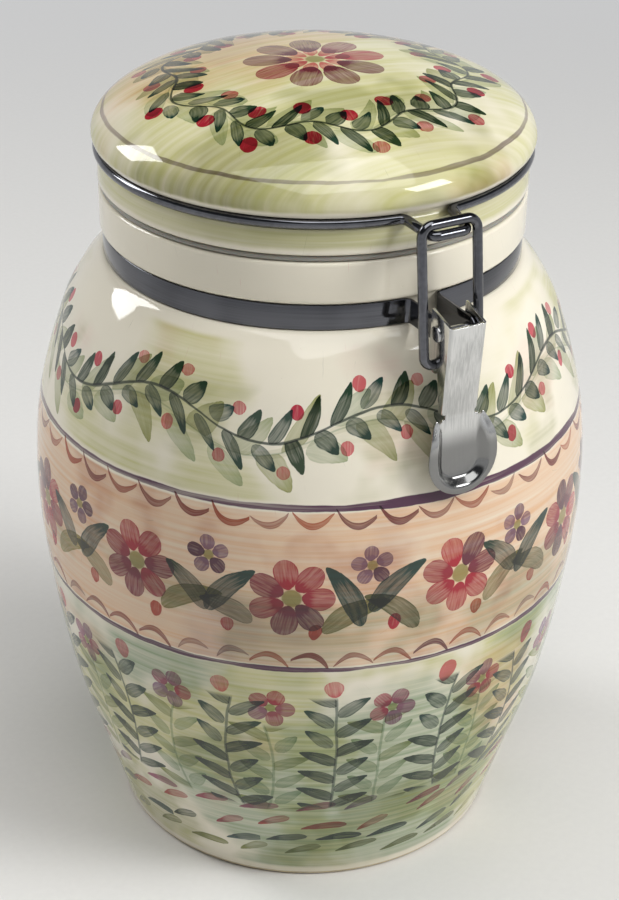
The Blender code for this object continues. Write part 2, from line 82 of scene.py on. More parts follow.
def side_stations(base, belly, neck):
    """Stations (height, radius) of the jar's side, from its base, belly and neck."""
    stations = []
    for (up0, r0), (up1, r1), shares in ((base, belly, flank_shares), (belly, neck, shoulder_shares)):
        stations = stations[:-1]
        stations += [(up0 + (up1 - up0) * along, r0 + (r1 - r0) * across) for along, across in shares]
    return stations


def radius_at(stations, up):
    """Radius at a height, on a smooth curve through the stations."""
    last = len(stations) - 1
    i = next((k for k in range(last) if up <= stations[k + 1][0]), last - 1)

    def slope(k):
        (up0, r0), (up1, r1) = stations[max(k - 1, 0)], stations[min(k + 1, last)]
        return (r1 - r0) / (up1 - up0)

    (up0, r0), (up1, r1) = stations[i], stations[i + 1]
    span = up1 - up0
    t = (up - up0) / span
    level = (2 * t**3 - 3 * t**2 + 1) * r0 + (3 * t**2 - 2 * t**3) * r1
    return level + span * ((t**3 - 2 * t**2 + t) * slope(i) + (t**3 - t**2) * slope(i + 1))


def placed(name, data):
    """A new object, linked to the scene."""
    thing = bpy.data.objects.new(name, data)
    bpy.context.scene.collection.objects.link(thing)
    return thing


def shaded(mesh):
    """Shades a mesh smooth, apart from its steep edges."""
    mesh.shade_smooth()
    mesh.set_sharp_from_angle(angle=sharp_angle)
    return mesh


def smooth_mesh(name, bm):
    mesh = bpy.data.meshes.new(name)
    bm.to_mesh(mesh)
    bm.free()
    return shaded(mesh)


def dressed(name, shape, materials, body, slot, *nodes):
    """Puts a finished piece in the scene, on its body, in place of its CAD nodes."""
    data = smooth_mesh(name, shape) if isinstance(shape, bmesh.types.BMesh) else shape
    for material in materials if isinstance(materials, list) else [materials]:
        data.materials.append(material)
    piece = placed(name, data)
    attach(piece, body)
    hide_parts(*nodes)
    return piece


def turned(outline, steps, closed=False):
    """A piece turned about the axis. Each point keeps its distance along the outline as its side."""
    bm = bmesh.new()
    side = bm.verts.layers.float.new("side")
    verts = [bm.verts.new((radius, 0, up)) for radius, up in outline]
    for before, vert in zip(verts, verts[1:]):
        vert[side] = before[side] + (vert.co - before.co).length
    edges = [bm.edges.new(pair) for pair in zip(verts, verts[1:] + verts[:1] * closed)]
    bmesh.ops.spin(bm, geom=verts + edges, axis=(0, 0, 1), angle=tau, steps=steps, use_merge=True)
    bmesh.ops.remove_doubles(bm, verts=bm.verts, dist=merge_distance)
    bmesh.ops.recalc_face_normals(bm, faces=bm.faces)
    return bm


outside = side_stations((0, base_radius), (belly_height, belly_radius), (shoulder_height, neck_radius))
inner_neck = shoulder_height - wall
inside = side_stations(
    (floor_thickness, base_radius - wall), (belly_height, belly_radius - wall), (inner_neck, mouth_radius)
)
foot_inner = base_radius - foot_round - foot_width
foot_centre = (radius_at(outside, foot_round) - foot_round, foot_round)
fillet_up = floor_thickness + floor_fillet
fillet_centre = (radius_at(inside, fillet_up) - floor_fillet, fillet_up)
outside_ups = between(foot_round, shoulder_height - shoulder_edge, outside_steps)[1:]
jar_outline = [(0, foot_recess), (foot_inner - foot_recess, foot_recess), (foot_inner, 0)]
jar_outline += arc(foot_centre, foot_round, -pi / 2, 0, round_steps)
jar_outline += [(radius_at(outside, up), up) for up in outside_ups]
jar_outline += [(neck_radius - shoulder_edge, shoulder_height), (groove_radius, shoulder_height)]
jar_outline += [(groove_radius, collar_bottom)]
for centre, corner_round, start, end in (
    ((collar_radius - collar_round, collar_bottom + collar_round), collar_round, -pi / 2, 0),
    ((collar_radius - rim_round, rim_height - rim_round), rim_round, 0, pi / 2),
    ((mouth_radius + rim_round, rim_height - rim_round), rim_round, pi / 2, pi),
):
    jar_outline += arc(centre, corner_round, start, end, round_steps)
jar_outline += [(radius_at(inside, up), up) for up in between(inner_neck, fillet_up, inside_steps)]
jar_outline += arc(fillet_centre, floor_fillet, 0, -pi / 2, round_steps)[1:] + [(0, floor_thickness)]


# The paint: brushed underglaze colours, each mark drawn by node groups that share one brush.
# Washes lie under the marks, and every colour is laid over the cream clay as a transparent stain.
# The jar has three painted parts, above, between and below its two plum lines.
def feed(node, feeds):
    """Feeds a node's inputs, by name or number, each with a value or with another output."""
    for socket, value in dict(feeds).items():
        if isinstance(value, bpy.types.NodeSocket):
            node.id_data.links.new(value, node.inputs[socket])
        else:
            node.inputs[socket].default_value = value


def add_node(tree, kind, feeds=(), **settings):
    node = tree.nodes.new("ShaderNode" + kind)
    for setting, value in settings.items():
        setattr(node, setting, value)
    feed(node, feeds)
    return node


def reckon(operation, *values):
    """A Math node on numbers and outputs, in the outputs' own tree."""
    tree = next(value.id_data for value in values if isinstance(value, bpy.types.NodeSocket))
    return add_node(tree, "Math", enumerate(values), operation=operation).outputs[0]


def plus(first, second):
    return reckon("ADD", first, second)


def minus(first, second):
    return reckon("SUBTRACT", first, second)


def times(first, second):
    return reckon("MULTIPLY", first, second)


def times_plus(value, factor, added):
    return reckon("MULTIPLY_ADD", value, factor, added)


def rise(value, low, high, bottom=0.0, top=1.0):
    """A smooth rise from the bottom value at low to the top value at high."""
    limits = {"Value": value, "From Min": low, "From Max": high, "To Min": bottom, "To Max": top}
    return add_node(value.id_data, "MapRange", limits, interpolation_type="SMOOTHSTEP").outputs[0]


def mix(share, first, second, blend_type="MIX"):
    """A mix of two colours. Inputs 0, 6 and 7 of the Mix node are its factor and its colours."""
    feeds = {0: share, 6: first, 7: second}
    return add_node(share.id_data, "Mix", feeds, data_type="RGBA", blend_type=blend_type).outputs[2]


def joined(x, y=0.0, z=0.0):
    return add_node(x.id_data, "CombineXYZ", {"X": x, "Y": y, "Z": z}).outputs[0]


def split(place):
    return add_node(place.id_data, "SeparateXYZ", {0: place}).outputs


def on_vectors(operation, first, second):
    return add_node(first.id_data, "VectorMath", {0: first, 1: second}, operation=operation).outputs[0]


def reach_of(place):
    """Distance of a place from the middle."""
    return add_node(place.id_data, "VectorMath", {0: place}, operation="LENGTH").outputs["Value"]


def noise(place, scale, detail):
    """Soft noise, as a value and a colour."""
    return add_node(place.id_data, "TexNoise", {"Vector": place, "Scale": scale, "Detail": detail}).outputs


def stretched_noise(place, scale):
    """Noise with its own scale along X, Y and Z."""
    stretched = add_node(place.id_data, "Mapping", {"Vector": place, "Scale": scale}).outputs[0]
    return noise(stretched, 1.0, 2.0)[0]


def luck(x, y, z=0.0):
    """Random numbers for one mark, from its place in its row, as a value and a colour."""
    return add_node(x.id_data, "TexWhiteNoise", {"Vector": joined(x, y, z)}, noise_dimensions="3D").outputs


def step_of(walked, count):
    """A step's number, counted round, and the way walked from the step's middle."""
    number = reckon("FLOORED_MODULO", reckon("FLOOR", walked), count)
    return number, minus(reckon("FRACT", walked), 0.5)


def above_wave(side, row, turn, wave, waves, wave_phase):
    """How far a point lies above a row that runs in waves."""
    angle = times(times_plus(turn, waves, wave_phase), tau)
    return minus(minus(side, row), times(reckon("SINE", angle), wave))


def new_effect(name, **inputs):
    """A shader node group and its named inputs, which are vectors where they start as tuples."""
    group = bpy.data.node_groups.new(name, "ShaderNodeTree")
    for label, value in inputs.items():
        kind = "NodeSocketVector" if isinstance(value, tuple) else "NodeSocketFloat"
        socket = group.interface.new_socket(label.replace("_", " "), in_out="INPUT", socket_type=kind)
        socket.default_value = value
    return group, group.nodes.new("NodeGroupInput").outputs[: len(inputs)]


def finished(group, **results):
    """Gives a node group its named outputs."""
    for label in results:
        group.interface.new_socket(label, in_out="OUTPUT", socket_type="NodeSocketFloat")
    feed(group.nodes.new("NodeGroupOutput"), results)
    return group


def use(tree, effect, **feeds):
    """Places a node group in a tree, and gives its outputs."""
    named = {label.replace("_", " "): value for label, value in feeds.items()}
    return add_node(tree, "Group", named, node_tree=effect).outputs


def place_round_pot():
    """Where a point is on a round pot, shaken a little as by a hand: turn, radius and side."""
    group, (position, side, shake) = new_effect(
        "place_round_pot", Position=(0.0, 0.0, 0.0), Side=0.0, Shake=0.0012
    )
    shaken = on_vectors("SUBTRACT", noise(position, 90.0, 3.0)[1], (0.5, 0.5, 0.5))
    shaken = add_node(group, "VectorMath", {0: shaken, "Scale": shake}, operation="SCALE").outputs[0]
    x, y = split(on_vectors("ADD", position, shaken))[:2]
    angle = reckon("ARCTAN2", x, times(y, -1.0))
    turn = plus(reckon("DIVIDE", angle, tau), 0.5)
    return finished(group, Turn=turn, Radius=reach_of(joined(x, y)), Side=plus(side, split(shaken)[2]))


def brush_mark():
    """One press of a round brush: a tapered, bent mark with streaks and darker, wet edges."""
    group, (x, y, lean, length, width, bend, taper, tone) = new_effect(
        "brush_mark", X=0.0, Y=0.0, Lean=0.0, Length=0.01, Width=0.003, Bend=0.0, Taper=0.4, Tone=0.5
    )
    lean = times_plus(tone, 0.5, minus(lean, 0.25))
    sine, cosine = reckon("SINE", lean), reckon("COSINE", lean)
    along = plus(times(x, sine), times(y, cosine))
    across = minus(times(x, cosine), times(y, sine))
    across = minus(across, times(times(along, along), bend))
    share = reckon("DIVIDE", along, times(length, times_plus(tone, 0.16, 0.42)))
    fullness = reckon("SQRT", reckon("MAXIMUM", minus(1.0, times(share, share)), 0.0))
    edge = times(times(times(width, 0.5), fullness), times_plus(taper, share, 1.0))
    streak = stretched_noise(joined(across, along, tone), (1900.0, 130.0, 40.0))
    ragged = times_plus(streak, 0.0005, -0.00025)
    depth = minus(plus(edge, ragged), reckon("ABSOLUTE", across))
    wet_edge = rise(depth, 0.0, 0.0006, 0.34, 0.0)
    lifted = rise(times(times(taper, share), -1.0), 0.02, 0.36, 0.0, 0.55)
    load = plus(times_plus(streak, 0.7, 0.22), times_plus(tone, 0.35, wet_edge))
    return finished(group, Paint=times(rise(depth, 0.0, 0.00028), plus(load, lifted)))


def row_of_places():
    """A row of places round the pot: each gives its own X and Y, and two random tones."""
    group, (turn, radius, side, count, row, phase, wave, waves, wave_phase, loose, seed) = new_effect(
        "row_of_places", Turn=0.0, Radius=0.08, Side=0.0, Count=12.0, Row=0.1, Phase=0.0, Wave=0.0,
        Waves=6.0, Wave_Phase=0.0, Loose=0.0, Seed=0.0,
    )
    walked = times_plus(turn, count, phase)
    number, from_middle = step_of(walked, count)
    chance = luck(number, seed)
    red, green, blue = add_node(group, "SeparateColor", {0: chance[1]}).outputs[:3]
    slack, lift = (times(minus(part, 0.5), loose) for part in (red, green))
    pitch = reckon("DIVIDE", times(radius, tau), count)
    middle = reckon("DIVIDE", minus(minus(walked, from_middle), phase), count)
    up = above_wave(side, row, middle, wave, waves, wave_phase)
    x, y = times(minus(from_middle, slack), pitch), minus(up, times(lift, pitch))
    return finished(group, X=x, Y=y, Tone=blue, Second=chance[0])


def leafy_stem(brush):
    """A stem with a leaf at every step on each side, one side half a step behind the other."""
    group, (steps, pitch, across, wrap, lean, length, width, bend, stem, seed) = new_effect(
        "leafy_stem", Steps=0.0, Pitch=0.01, Across=0.0, Wrap=1000.0, Lean=0.6, Length=0.01, Width=0.003,
        Bend=0.0, Stem=0.0009, Seed=0.0,
    )
    far_side = reckon("LESS_THAN", across, 0.0)
    number, from_middle = step_of(times_plus(far_side, 0.5, steps), wrap)
    tone = luck(number, far_side, seed)[0]
    off_stem = reckon("ABSOLUTE", across)
    away = minus(off_stem, times(times(reckon("SINE", lean), length), 0.5))
    leaf = use(
        group, brush, X=away, Y=times(from_middle, pitch), Lean=lean, Length=length, Width=width, Bend=bend,
        Taper=-0.35, Tone=tone,
    )
    drawn_stem = rise(minus(stem, off_stem), 0.0, 0.0003, 0.0, 0.7)
    return finished(group, Paint=leaf[0], Stem=drawn_stem, Tone=tone)


def flower(brush):
    """A ring of petals round a place, each petal one press of the brush."""
    group, (x, y, petals, start, length, width, tone) = new_effect(
        "flower", X=0.0, Y=0.0, Petals=7.0, Start=0.003, Length=0.01, Width=0.005, Tone=0.0
    )
    distance = reach_of(joined(x, y))
    turn = reckon("DIVIDE", reckon("ARCTAN2", y, x), tau)
    number, from_middle = step_of(times(plus(turn, tone), petals), petals)
    chance = luck(number, tone)[0]
    off = times(reckon("DIVIDE", times(from_middle, tau), petals), distance)
    petal = use(
        group, brush, X=off, Y=minus(distance, times_plus(length, 0.5, start)), Length=length, Width=width,
        Taper=0.35, Tone=times_plus(chance, 0.3, 0.35),
    )
    return finished(group, Paint=petal[0], Tone=chance, Distance=distance)


def wash():
    """A thin wash: it covers in patches, dries darker at its edges, and shows the turning wheel."""
    group, (position, grain, scale, cover, soft, seed) = new_effect(
        "wash", Position=(0.0, 0.0, 0.0), Grain=(16.0, 16.0, 700.0), Scale=30.0, Cover=0.5, Soft=0.08,
        Seed=0.0,
    )
    place = on_vectors("ADD", position, joined(seed))
    over = minus(noise(place, scale, 3.0)[0], minus(1.0, cover))
    body = rise(over, 0.0, soft)
    tide = times(body, rise(over, 0.0, 0.05, 0.35, 0.0))
    strokes = noise(on_vectors("MULTIPLY", place, grain), 1.0, 3.0)[0]
    return finished(group, Paint=times_plus(body, times_plus(strokes, 1.1, 0.05), tide))


def brushed_line():
    """A line run round the pot on the wheel, uneven in width and in colour."""
    group, (position, turn, side, row, width, wave, waves, wave_phase) = new_effect(
        "brushed_line", Position=(0.0, 0.0, 0.0), Turn=0.0, Side=0.0, Row=0.1, Width=0.002, Wave=0.0,
        Waves=6.0, Wave_Phase=0.0,
    )
    across = above_wave(side, row, turn, wave, waves, wave_phase)
    uneven = noise(position, 28.0, 2.0)[0]
    depth = minus(times(width, times_plus(uneven, 0.9, 0.05)), reckon("ABSOLUTE", across))
    hairs = stretched_noise(position, (30.0, 30.0, 1800.0))
    load = plus(times_plus(hairs, 0.7, 0.05), times(uneven, 0.6))
    return finished(group, Paint=times(rise(depth, 0.0, 0.0003), load), Across=across)


def clear_glaze():
    """The fired glaze: nearly even gloss, with faint waves and a few pinholes."""
    group, (position,) = new_effect("clear_glaze", Position=(0.0, 0.0, 0.0))
    smears = noise(position, 120.0, 4.0)[0]
    holes = add_node(group, "TexVoronoi", {"Vector": position, "Scale": 160.0}).outputs["Distance"]
    height = plus(noise(position, 38.0, 1.0)[0], rise(holes, 0.02, 0.05, -0.6, 0.0))
    return finished(group, Roughness=rise(smears, 0.35, 0.75, 0.045, 0.10), Height=height)


pot_place = place_round_pot()
round_brush = brush_mark()
row_places = row_of_places()
stem_and_leaves = leafy_stem(round_brush)
petal_ring = flower(round_brush)
thin_wash = wash()
wheel_line = brushed_line()
glaze = clear_glaze()


def colour(red, green, blue):
    """A paint colour, from its 0 to 255 screen values."""
    shares = (value / 255 for value in (red, green, blue))
    return (*(s / 12.92 if s <= 0.04045 else ((s + 0.055) / 1.055) ** 2.4 for s in shares), 1.0)


cream = colour(238, 231, 212)
lime = colour(204, 208, 136)
olive = colour(160, 166, 100)
moss = colour(50, 72, 48)
teal = colour(38, 80, 84)
sage = colour(140, 170, 142)
peach = colour(238, 190, 154)
clay_red = colour(186, 104, 72)
plum = colour(92, 58, 90)
rose = colour(190, 42, 74)
pink = colour(230, 136, 146)
lavender = colour(150, 128, 172)
bare_clay = colour(214, 200, 176)


def new_finish(name):
    """A new material, its main shader and the place on the piece."""
    material = bpy.data.materials.new(name)
    material.use_nodes = True
    tree = material.node_tree
    return material, tree.nodes["Principled BSDF"], add_node(tree, "TexCoord").outputs["Object"]


def bumped(height, strength, distance):
    feeds = {"Height": height, "Strength": strength, "Distance": distance}
    return add_node(height.id_data, "Bump", feeds).outputs[0]


class Painted:
    """A glazed material that is painted one layer after the other."""

    def __init__(self, name, ground):
        self.material, self.shader, self.position = new_finish(name)
        self.tree = self.material.node_tree
        self.true_side = add_node(self.tree, "Attribute", attribute_name="side").outputs["Fac"]
        where = use(self.tree, pot_place, Position=self.position, Side=self.true_side)
        self.turn, self.radius, self.side = where[:3]
        self.look = ground

    def stain(self, paint, *inks, tone=None, strength=1.0, zone=None):
        """Lays one colour, or a mix of two by tone, over what is there, as a transparent stain."""
        ink = inks[0] if tone is None else mix(tone, *inks)
        amount = times(paint, strength)
        if zone is not None:
            amount = times(amount, zone)
        held = add_node(self.tree, "Clamp", {"Value": amount}).outputs[0]
        self.look = mix(held, self.look, ink, "MULTIPLY")

    def zone(self, low, high, soft):
        """A mask that is 1 between two places on the side, and fades out over a soft edge."""
        start = rise(self.side, low - soft, low + soft)
        return times(start, rise(self.side, high - soft, high + soft, 1.0, 0.0))

    def washes(self, *rows, **settings):
        """Thin washes, each by its ink, zone, strength, scale, cover, softness and seed."""
        for ink, zone, strength, scale, cover, soft, seed in rows:
            paint = use(
                self.tree, thin_wash, Position=self.position, Scale=scale, Cover=cover, Soft=soft,
                Seed=seed, **settings,
            )
            self.stain(paint[0], ink, strength=strength, zone=zone)

    def line(self, ink, strength, **settings):
        """A line round the pot. It gives how far a point lies across it."""
        drawn = use(
            self.tree, wheel_line, Position=self.position, Turn=self.turn, Side=self.side, **settings
        )
        self.stain(drawn["Paint"], ink, strength=strength)
        return drawn["Across"]

    def row(self, **settings):
        return use(self.tree, row_places, Turn=self.turn, Radius=self.radius, Side=self.side, **settings)

    def marks(self, inks, strength, row, **settings):
        mark = use(self.tree, round_brush, X=row["X"], Y=row["Y"], Tone=row["Tone"], **settings)
        self.stain(mark[0], *inks, tone=row["Second"], strength=strength)

    def flowers(self, inks, strength, x, y, tone, heart, edge, zone=None, **settings):
        """Flowers round a place, with an olive heart of some radius that fades out over its edge."""
        bloom = use(self.tree, petal_ring, X=x, Y=y, Tone=tone, **settings)
        self.stain(bloom["Paint"], *inks, tone=bloom["Tone"], strength=strength, zone=zone)
        if heart:
            middle = rise(bloom["Distance"], heart, heart + edge, 1.0, 0.0)
            self.stain(middle, olive, strength=0.9, zone=zone)

    def leaves(self, inks, strength, zone=None, **settings):
        """A stem in the first ink, with leaves in both."""
        sprig = use(self.tree, stem_and_leaves, **settings)
        self.stain(sprig["Stem"], inks[0], strength=strength, zone=zone)
        self.stain(sprig["Paint"], *inks, tone=sprig["Tone"], strength=strength, zone=zone)

    def garland(self, inks, strength, count, across, **settings):
        """Leaves along a waved line round the pot."""
        steps, pitch = times(self.turn, count), times(self.radius, tau / count)
        self.leaves(inks, strength, Steps=steps, Pitch=pitch, Across=across, Wrap=count, **settings)

    def fired(self):
        """The clear glaze over the paint."""
        coat = use(self.tree, glaze, Position=self.position)
        bump = bumped(coat["Height"], 0.25, 0.0004)
        feeds = {"Base Color": self.look, "IOR": 1.52, "Roughness": coat["Roughness"], "Normal": bump}
        feed(self.shader, feeds)
        return self.material


def at(up):
    """A height on the jar's outside, as a distance along its outline."""
    walked = 0
    for (r0, up0), (r1, up1) in zip(jar_outline, jar_outline[1:]):
        length = sqrt((r1 - r0) ** 2 + (up1 - up0) ** 2)
        if up0 < up <= up1:
            return walked + length * (up - up0) / (up1 - up0)
        walked += length
    return walked


plum_strength = 1.35
upper_line = {"Row": at(0.1515), "Width": 0.0024}
lower_line = {"Row": at(0.0968), "Width": 0.0018}
small_heart, large_heart, heart_edge = 0.0013, 0.0026, 0.0007

# Shoulder: lime washes on cream, and a garland with berries over its own paler shade
shoulder_paint = Painted("painted_shoulder_glaze", cream)
shoulder_low = at(0.153)
shoulder_zone = shoulder_paint.zone(shoulder_low, at(0.194), 0.001)
shoulder_paint.washes(
    (lime, shoulder_zone, 0.9, 20.0, 0.54, 0.14, 1.0),
    (olive, shoulder_paint.zone(shoulder_low, at(0.184), 0.004), 0.55, 30.0, 0.47, 0.10, 5.0),
    (pink, shoulder_zone, 0.22, 26.0, 0.40, 0.12, 9.0),
)
garland_row, shade_row = at(0.174), at(0.1705)
garland_wave = {"Wave": 0.0052, "Waves": 7.0}
pale_leaf = {"Lean": 0.75, "Length": 0.0150, "Bend": 9.0, "Stem": 0.0004}
dark_leaf = {"Lean": 0.95, "Width": 0.0044, "Bend": 14.0, "Stem": 0.0005}
berry_sides = ((0.975, 1), (0.235, -1))
berry_step = 0.0080
across_shade = shoulder_paint.line(olive, 0.3, Row=shade_row, Width=0.0030, Wave_Phase=0.06, **garland_wave)
shoulder_paint.garland((sage, olive), 0.62, 35.0, across_shade, Width=0.0066, Seed=8.0, **pale_leaf)
across_vine = shoulder_paint.line(moss, 0.8, Row=garland_row, Width=0.0012, **garland_wave)
shoulder_paint.garland((teal, moss), 1.0, 56.0, across_vine, Length=0.0108, Seed=3.0, **dark_leaf)
for phase, sign in berry_sides:
    berries = shoulder_paint.row(
        Count=28.0, Row=garland_row + sign * berry_step, Phase=phase, Loose=0.08, Seed=phase, **garland_wave
    )
    shoulder_paint.marks((rose, pink), 1.2, berries, Length=0.0044, Width=0.0042, Taper=0.0)
shoulder_paint.line(plum, plum_strength, **upper_line)

# Middle: a peach band between plum lines, with scallops along its edges and a row of flowers
middle_paint = Painted("painted_middle_glaze", cream)
middle_low = at(0.098)
middle_zone = middle_paint.zone(middle_low, at(0.150), 0.0004)
middle_paint.washes(
    (peach, middle_zone, 1.0, 14.0, 0.70, 0.10, 2.0),
    (clay_red, middle_zone, 0.55, 34.0, 0.47, 0.12, 7.0),
    (lavender, middle_zone, 0.45, 20.0, 0.47, 0.12, 17.0),
    (sage, middle_paint.zone(middle_low, at(0.124), 0.006), 0.75, 24.0, 0.54, 0.12, 29.0),
)
for plum_line in (upper_line, lower_line):
    middle_paint.line(plum, plum_strength, **plum_line)
for row_up, bend, seed in ((0.1460, -110.0, 1.0), (0.1025, 110.0, 2.0)):
    scallops = middle_paint.row(Count=44.0, Row=at(row_up), Loose=0.06, Seed=seed)
    middle_paint.marks(
        (clay_red, plum), 1.0, scallops, Lean=pi / 2, Length=0.0125, Width=0.0024, Bend=bend, Taper=0.1
    )
flower_count = 11.0
for row_up, lean, phase, inks in (
    (0.1250, 0.70, 0.36, (teal, moss)),
    (0.1250, -0.70, 0.64, (teal, moss)),
    (0.1180, -1.00, 0.36, (moss, olive)),
    (0.1180, 1.00, 0.64, (moss, olive)),
):
    leaf_row = middle_paint.row(
        Count=flower_count, Row=at(row_up), Phase=phase, Loose=0.07, Seed=phase + lean
    )
    middle_paint.marks(
        inks, 1.0, leaf_row, Lean=lean, Length=0.0205, Width=0.0068, Bend=18.0 * lean, Taper=-0.3
    )
small_row = middle_paint.row(Count=flower_count, Row=at(0.1330), Phase=0.5, Loose=0.06, Seed=13.0)
middle_paint.flowers(
    (lavender, plum), 1.2, *small_row[:3], small_heart, heart_edge, Petals=5.0, Start=0.0014,
    Length=0.0052, Width=0.0048,
)
bud_row = middle_paint.row(Count=22.0, Row=at(0.1118), Phase=0.22, Loose=0.12, Seed=19.0)
middle_paint.marks((rose, clay_red), 1.1, bud_row, Length=0.0052, Width=0.0042, Taper=0.2)
bloom_row = middle_paint.row(Count=flower_count, Row=at(0.1243), Loose=0.08, Seed=11.0)
middle_paint.flowers(
    (rose, plum), 1.1, *bloom_row[:3], large_heart, heart_edge, Petals=7.0, Start=0.0028,
    Length=0.0104, Width=0.0076,
)

# Lower part: green washes with peach patches, leafy sprays with buds, small blooms between, and soft grass
lower_paint = Painted("painted_lower_glaze", cream)
lower_low = at(0.004)
lower_zone = lower_paint.zone(lower_low, at(0.096), 0.001)
lower_paint.line(plum, plum_strength, **lower_line)
lower_paint.washes(
    (peach, lower_paint.zone(at(0.020), at(0.090), 0.004), 0.9, 13.0, 0.47, 0.08, 18.0),
    (sage, lower_zone, 1.05, 18.0, 0.60, 0.12, 12.0),
    (lime, lower_zone, 1.05, 26.0, 0.57, 0.12, 15.0),
    (olive, lower_paint.zone(lower_low, at(0.045), 0.006), 0.75, 30.0, 0.52, 0.12, 23.0),
)
spray_count, spray_pitch, spray_end, bow_range = 15.0, 0.0086, 0.002, 16.0
for row_up, phase, seed, height, inks, strength in (
    (0.055, 0.5, 27.0, 0.042, (sage, olive), 0.8),
    (0.060, 0.0, 21.0, 0.052, (teal, moss), 1.0),
):
    spray = lower_paint.row(Count=spray_count, Row=at(row_up), Phase=phase, Loose=0.10, Seed=seed)
    x, y, tone = spray[:3]
    bow = times(times_plus(tone, bow_range, -bow_range / 2), y)
    shown = rise(minus(height / 2, reckon("ABSOLUTE", y)), 0.0, spray_end)
    lower_paint.leaves(
        inks, strength, shown, Steps=reckon("DIVIDE", y, spray_pitch), Pitch=spray_pitch,
        Across=times_plus(bow, y, x), Lean=1.0, Length=0.0124, Width=0.0046, Bend=12.0, Stem=0.0006,
        Seed=seed,
    )
buds = lower_paint.row(Count=spray_count, Row=at(0.0885), Loose=0.06, Seed=31.0)
lower_paint.marks((rose, pink), 1.2, buds, Length=0.0074, Width=0.0060, Taper=0.2)
blooms = lower_paint.row(Count=spray_count, Row=at(0.0800), Phase=0.5, Loose=0.10, Seed=33.0)
lower_paint.flowers(
    (rose, lavender), 1.1, *blooms[:3], small_heart, heart_edge, Petals=5.0, Start=0.0014,
    Length=0.0062, Width=0.0058,
)
for row_up, phase, seed, inks in (
    (0.034, 0.5, 35.0, (lavender, rose)),
    (0.026, 0.25, 37.0, (clay_red, rose)),
    (0.018, 0.0, 41.0, (moss, teal)),
    (0.012, 0.6, 43.0, (olive, moss)),
):
    grass = lower_paint.row(Count=26.0, Row=at(row_up), Phase=phase, Loose=0.35, Seed=seed)
    lower_paint.marks(inks, 1.0, grass, Lean=1.25, Length=0.0130, Width=0.0036, Bend=16.0)

# Bare clay on the foot ring, below the glaze's lower edge
glaze_start, glaze_fade = at(0.0016), 0.0004
bare = rise(lower_paint.true_side, glaze_start - glaze_fade, glaze_start, 1.0, 0.0)
lower_paint.stain(bare, bare_clay, strength=0.9)

bm = turned(jar_outline, turn_steps)
side_layer = bm.verts.layers.float["side"]
for face in bm.faces:
    face_side = sum(vert[side_layer] for vert in face.verts) / len(face.verts)
    face.material_index = (face_side < upper_line["Row"]) + (face_side < lower_line["Row"])
jar_glazes = [paint.fired() for paint in (shoulder_paint, middle_paint, lower_paint)]
dressed("painted_jar", bm, jar_glazes, "jar", "jar_glaze", "jar_body")


# Lid: one slip-cast dome with a plain skirt, a groove for the wire and a tapered plug inside the seal.
# It is painted and glazed as the jar is, and is hollow under the dome.
lid_bottom = 0.2203
skirt_radius = 0.0652
skirt_round = 0.0010
lid_radius = 0.0667
lid_edge_up = 0.2344
dome_height = 0.0208
lid_wall = 0.0060
wire_up = 0.2299
wire_seat_radius = 0.0648
wire_seat_groove = 0.0018
plug_radius = 0.0530
plug_taper = 0.0015
plug_depth = 0.0060
plug_wall = 0.0060
fullness_share = 0.65
under_edge_share = 0.25
dome_steps, seat_steps, hollow_steps = 64, 14, 30

seat_depth = skirt_radius - wire_seat_radius
seat_lip = sqrt(wire_seat_groove**2 - seat_depth**2)
lip_angle = atan2(seat_lip, seat_depth)
plug_bottom = lid_bottom - plug_depth
hollow_radius = plug_radius - plug_taper - plug_wall
hollow_height = lid_edge_up + dome_height - lid_wall - plug_bottom
under_edge_radius = lid_radius - (lid_radius - skirt_radius) * under_edge_share
skirt_centre = (skirt_radius - skirt_round, lid_bottom + skirt_round)
lid_outline = [
    (lid_radius * sin(a), lid_edge_up + dome_height * cos(a)) for a in between(0, pi / 2, dome_steps)
]
lid_outline += [(under_edge_radius, (wire_up + seat_lip + lid_edge_up) / 2)]
lid_outline += arc((wire_seat_radius, wire_up), wire_seat_groove, lip_angle, 1.5 * pi, seat_steps)
lid_outline += arc(skirt_centre, skirt_round, 0, -pi / 2, round_steps)
lid_outline += [(plug_radius, lid_bottom), (plug_radius - plug_taper, plug_bottom)]
lid_outline += [
    (hollow_radius * sin(a) ** fullness_share, plug_bottom + hollow_height * cos(a) ** fullness_share)
    for a in between(pi / 2, 0, hollow_steps)
]

# Dome and skirt: washes, a wreath with berries and one flower. Places on the lid are distances from its top.
lid_paint = Painted("painted_lid_glaze", cream)
before_top, dome_end = -0.01, 0.0745
skirt_start, skirt_end = 0.0800, 0.0885
dome_zone = lid_paint.zone(before_top, dome_end, 0.0006)
skirt_zone = lid_paint.zone(skirt_start, skirt_end, 0.001)
lid_paint.washes(
    (lime, dome_zone, 1.0, 14.0, 0.68, 0.12, 51.0),
    (olive, dome_zone, 0.75, 22.0, 0.50, 0.09, 54.0),
    (peach, dome_zone, 1.0, 11.0, 0.50, 0.10, 62.0),
    (lavender, dome_zone, 0.30, 16.0, 0.45, 0.12, 67.0),
    Grain=(18.0, 420.0, 18.0),
)
lid_paint.washes(
    (lime, skirt_zone, 0.9, 10.0, 0.75, 0.20, 59.0),
    (olive, skirt_zone, 0.6, 14.0, 0.55, 0.20, 66.0),
)
lid_line_row = 0.0655
wreath = {"Row": 0.0440, "Wave": 0.0028, "Waves": 9.0}
lid_berry_step = 0.0076
lid_heart, lid_heart_edge = 0.0024, 0.0010
lid_paint.line(plum, 0.8, Row=lid_line_row, Width=0.0014)
across_shade = lid_paint.line(olive, 0.3, Width=0.0030, Wave_Phase=0.08, **wreath)
lid_paint.garland((sage, olive), 0.6, 23.0, across_shade, Width=0.0068, Seed=68.0, **pale_leaf)
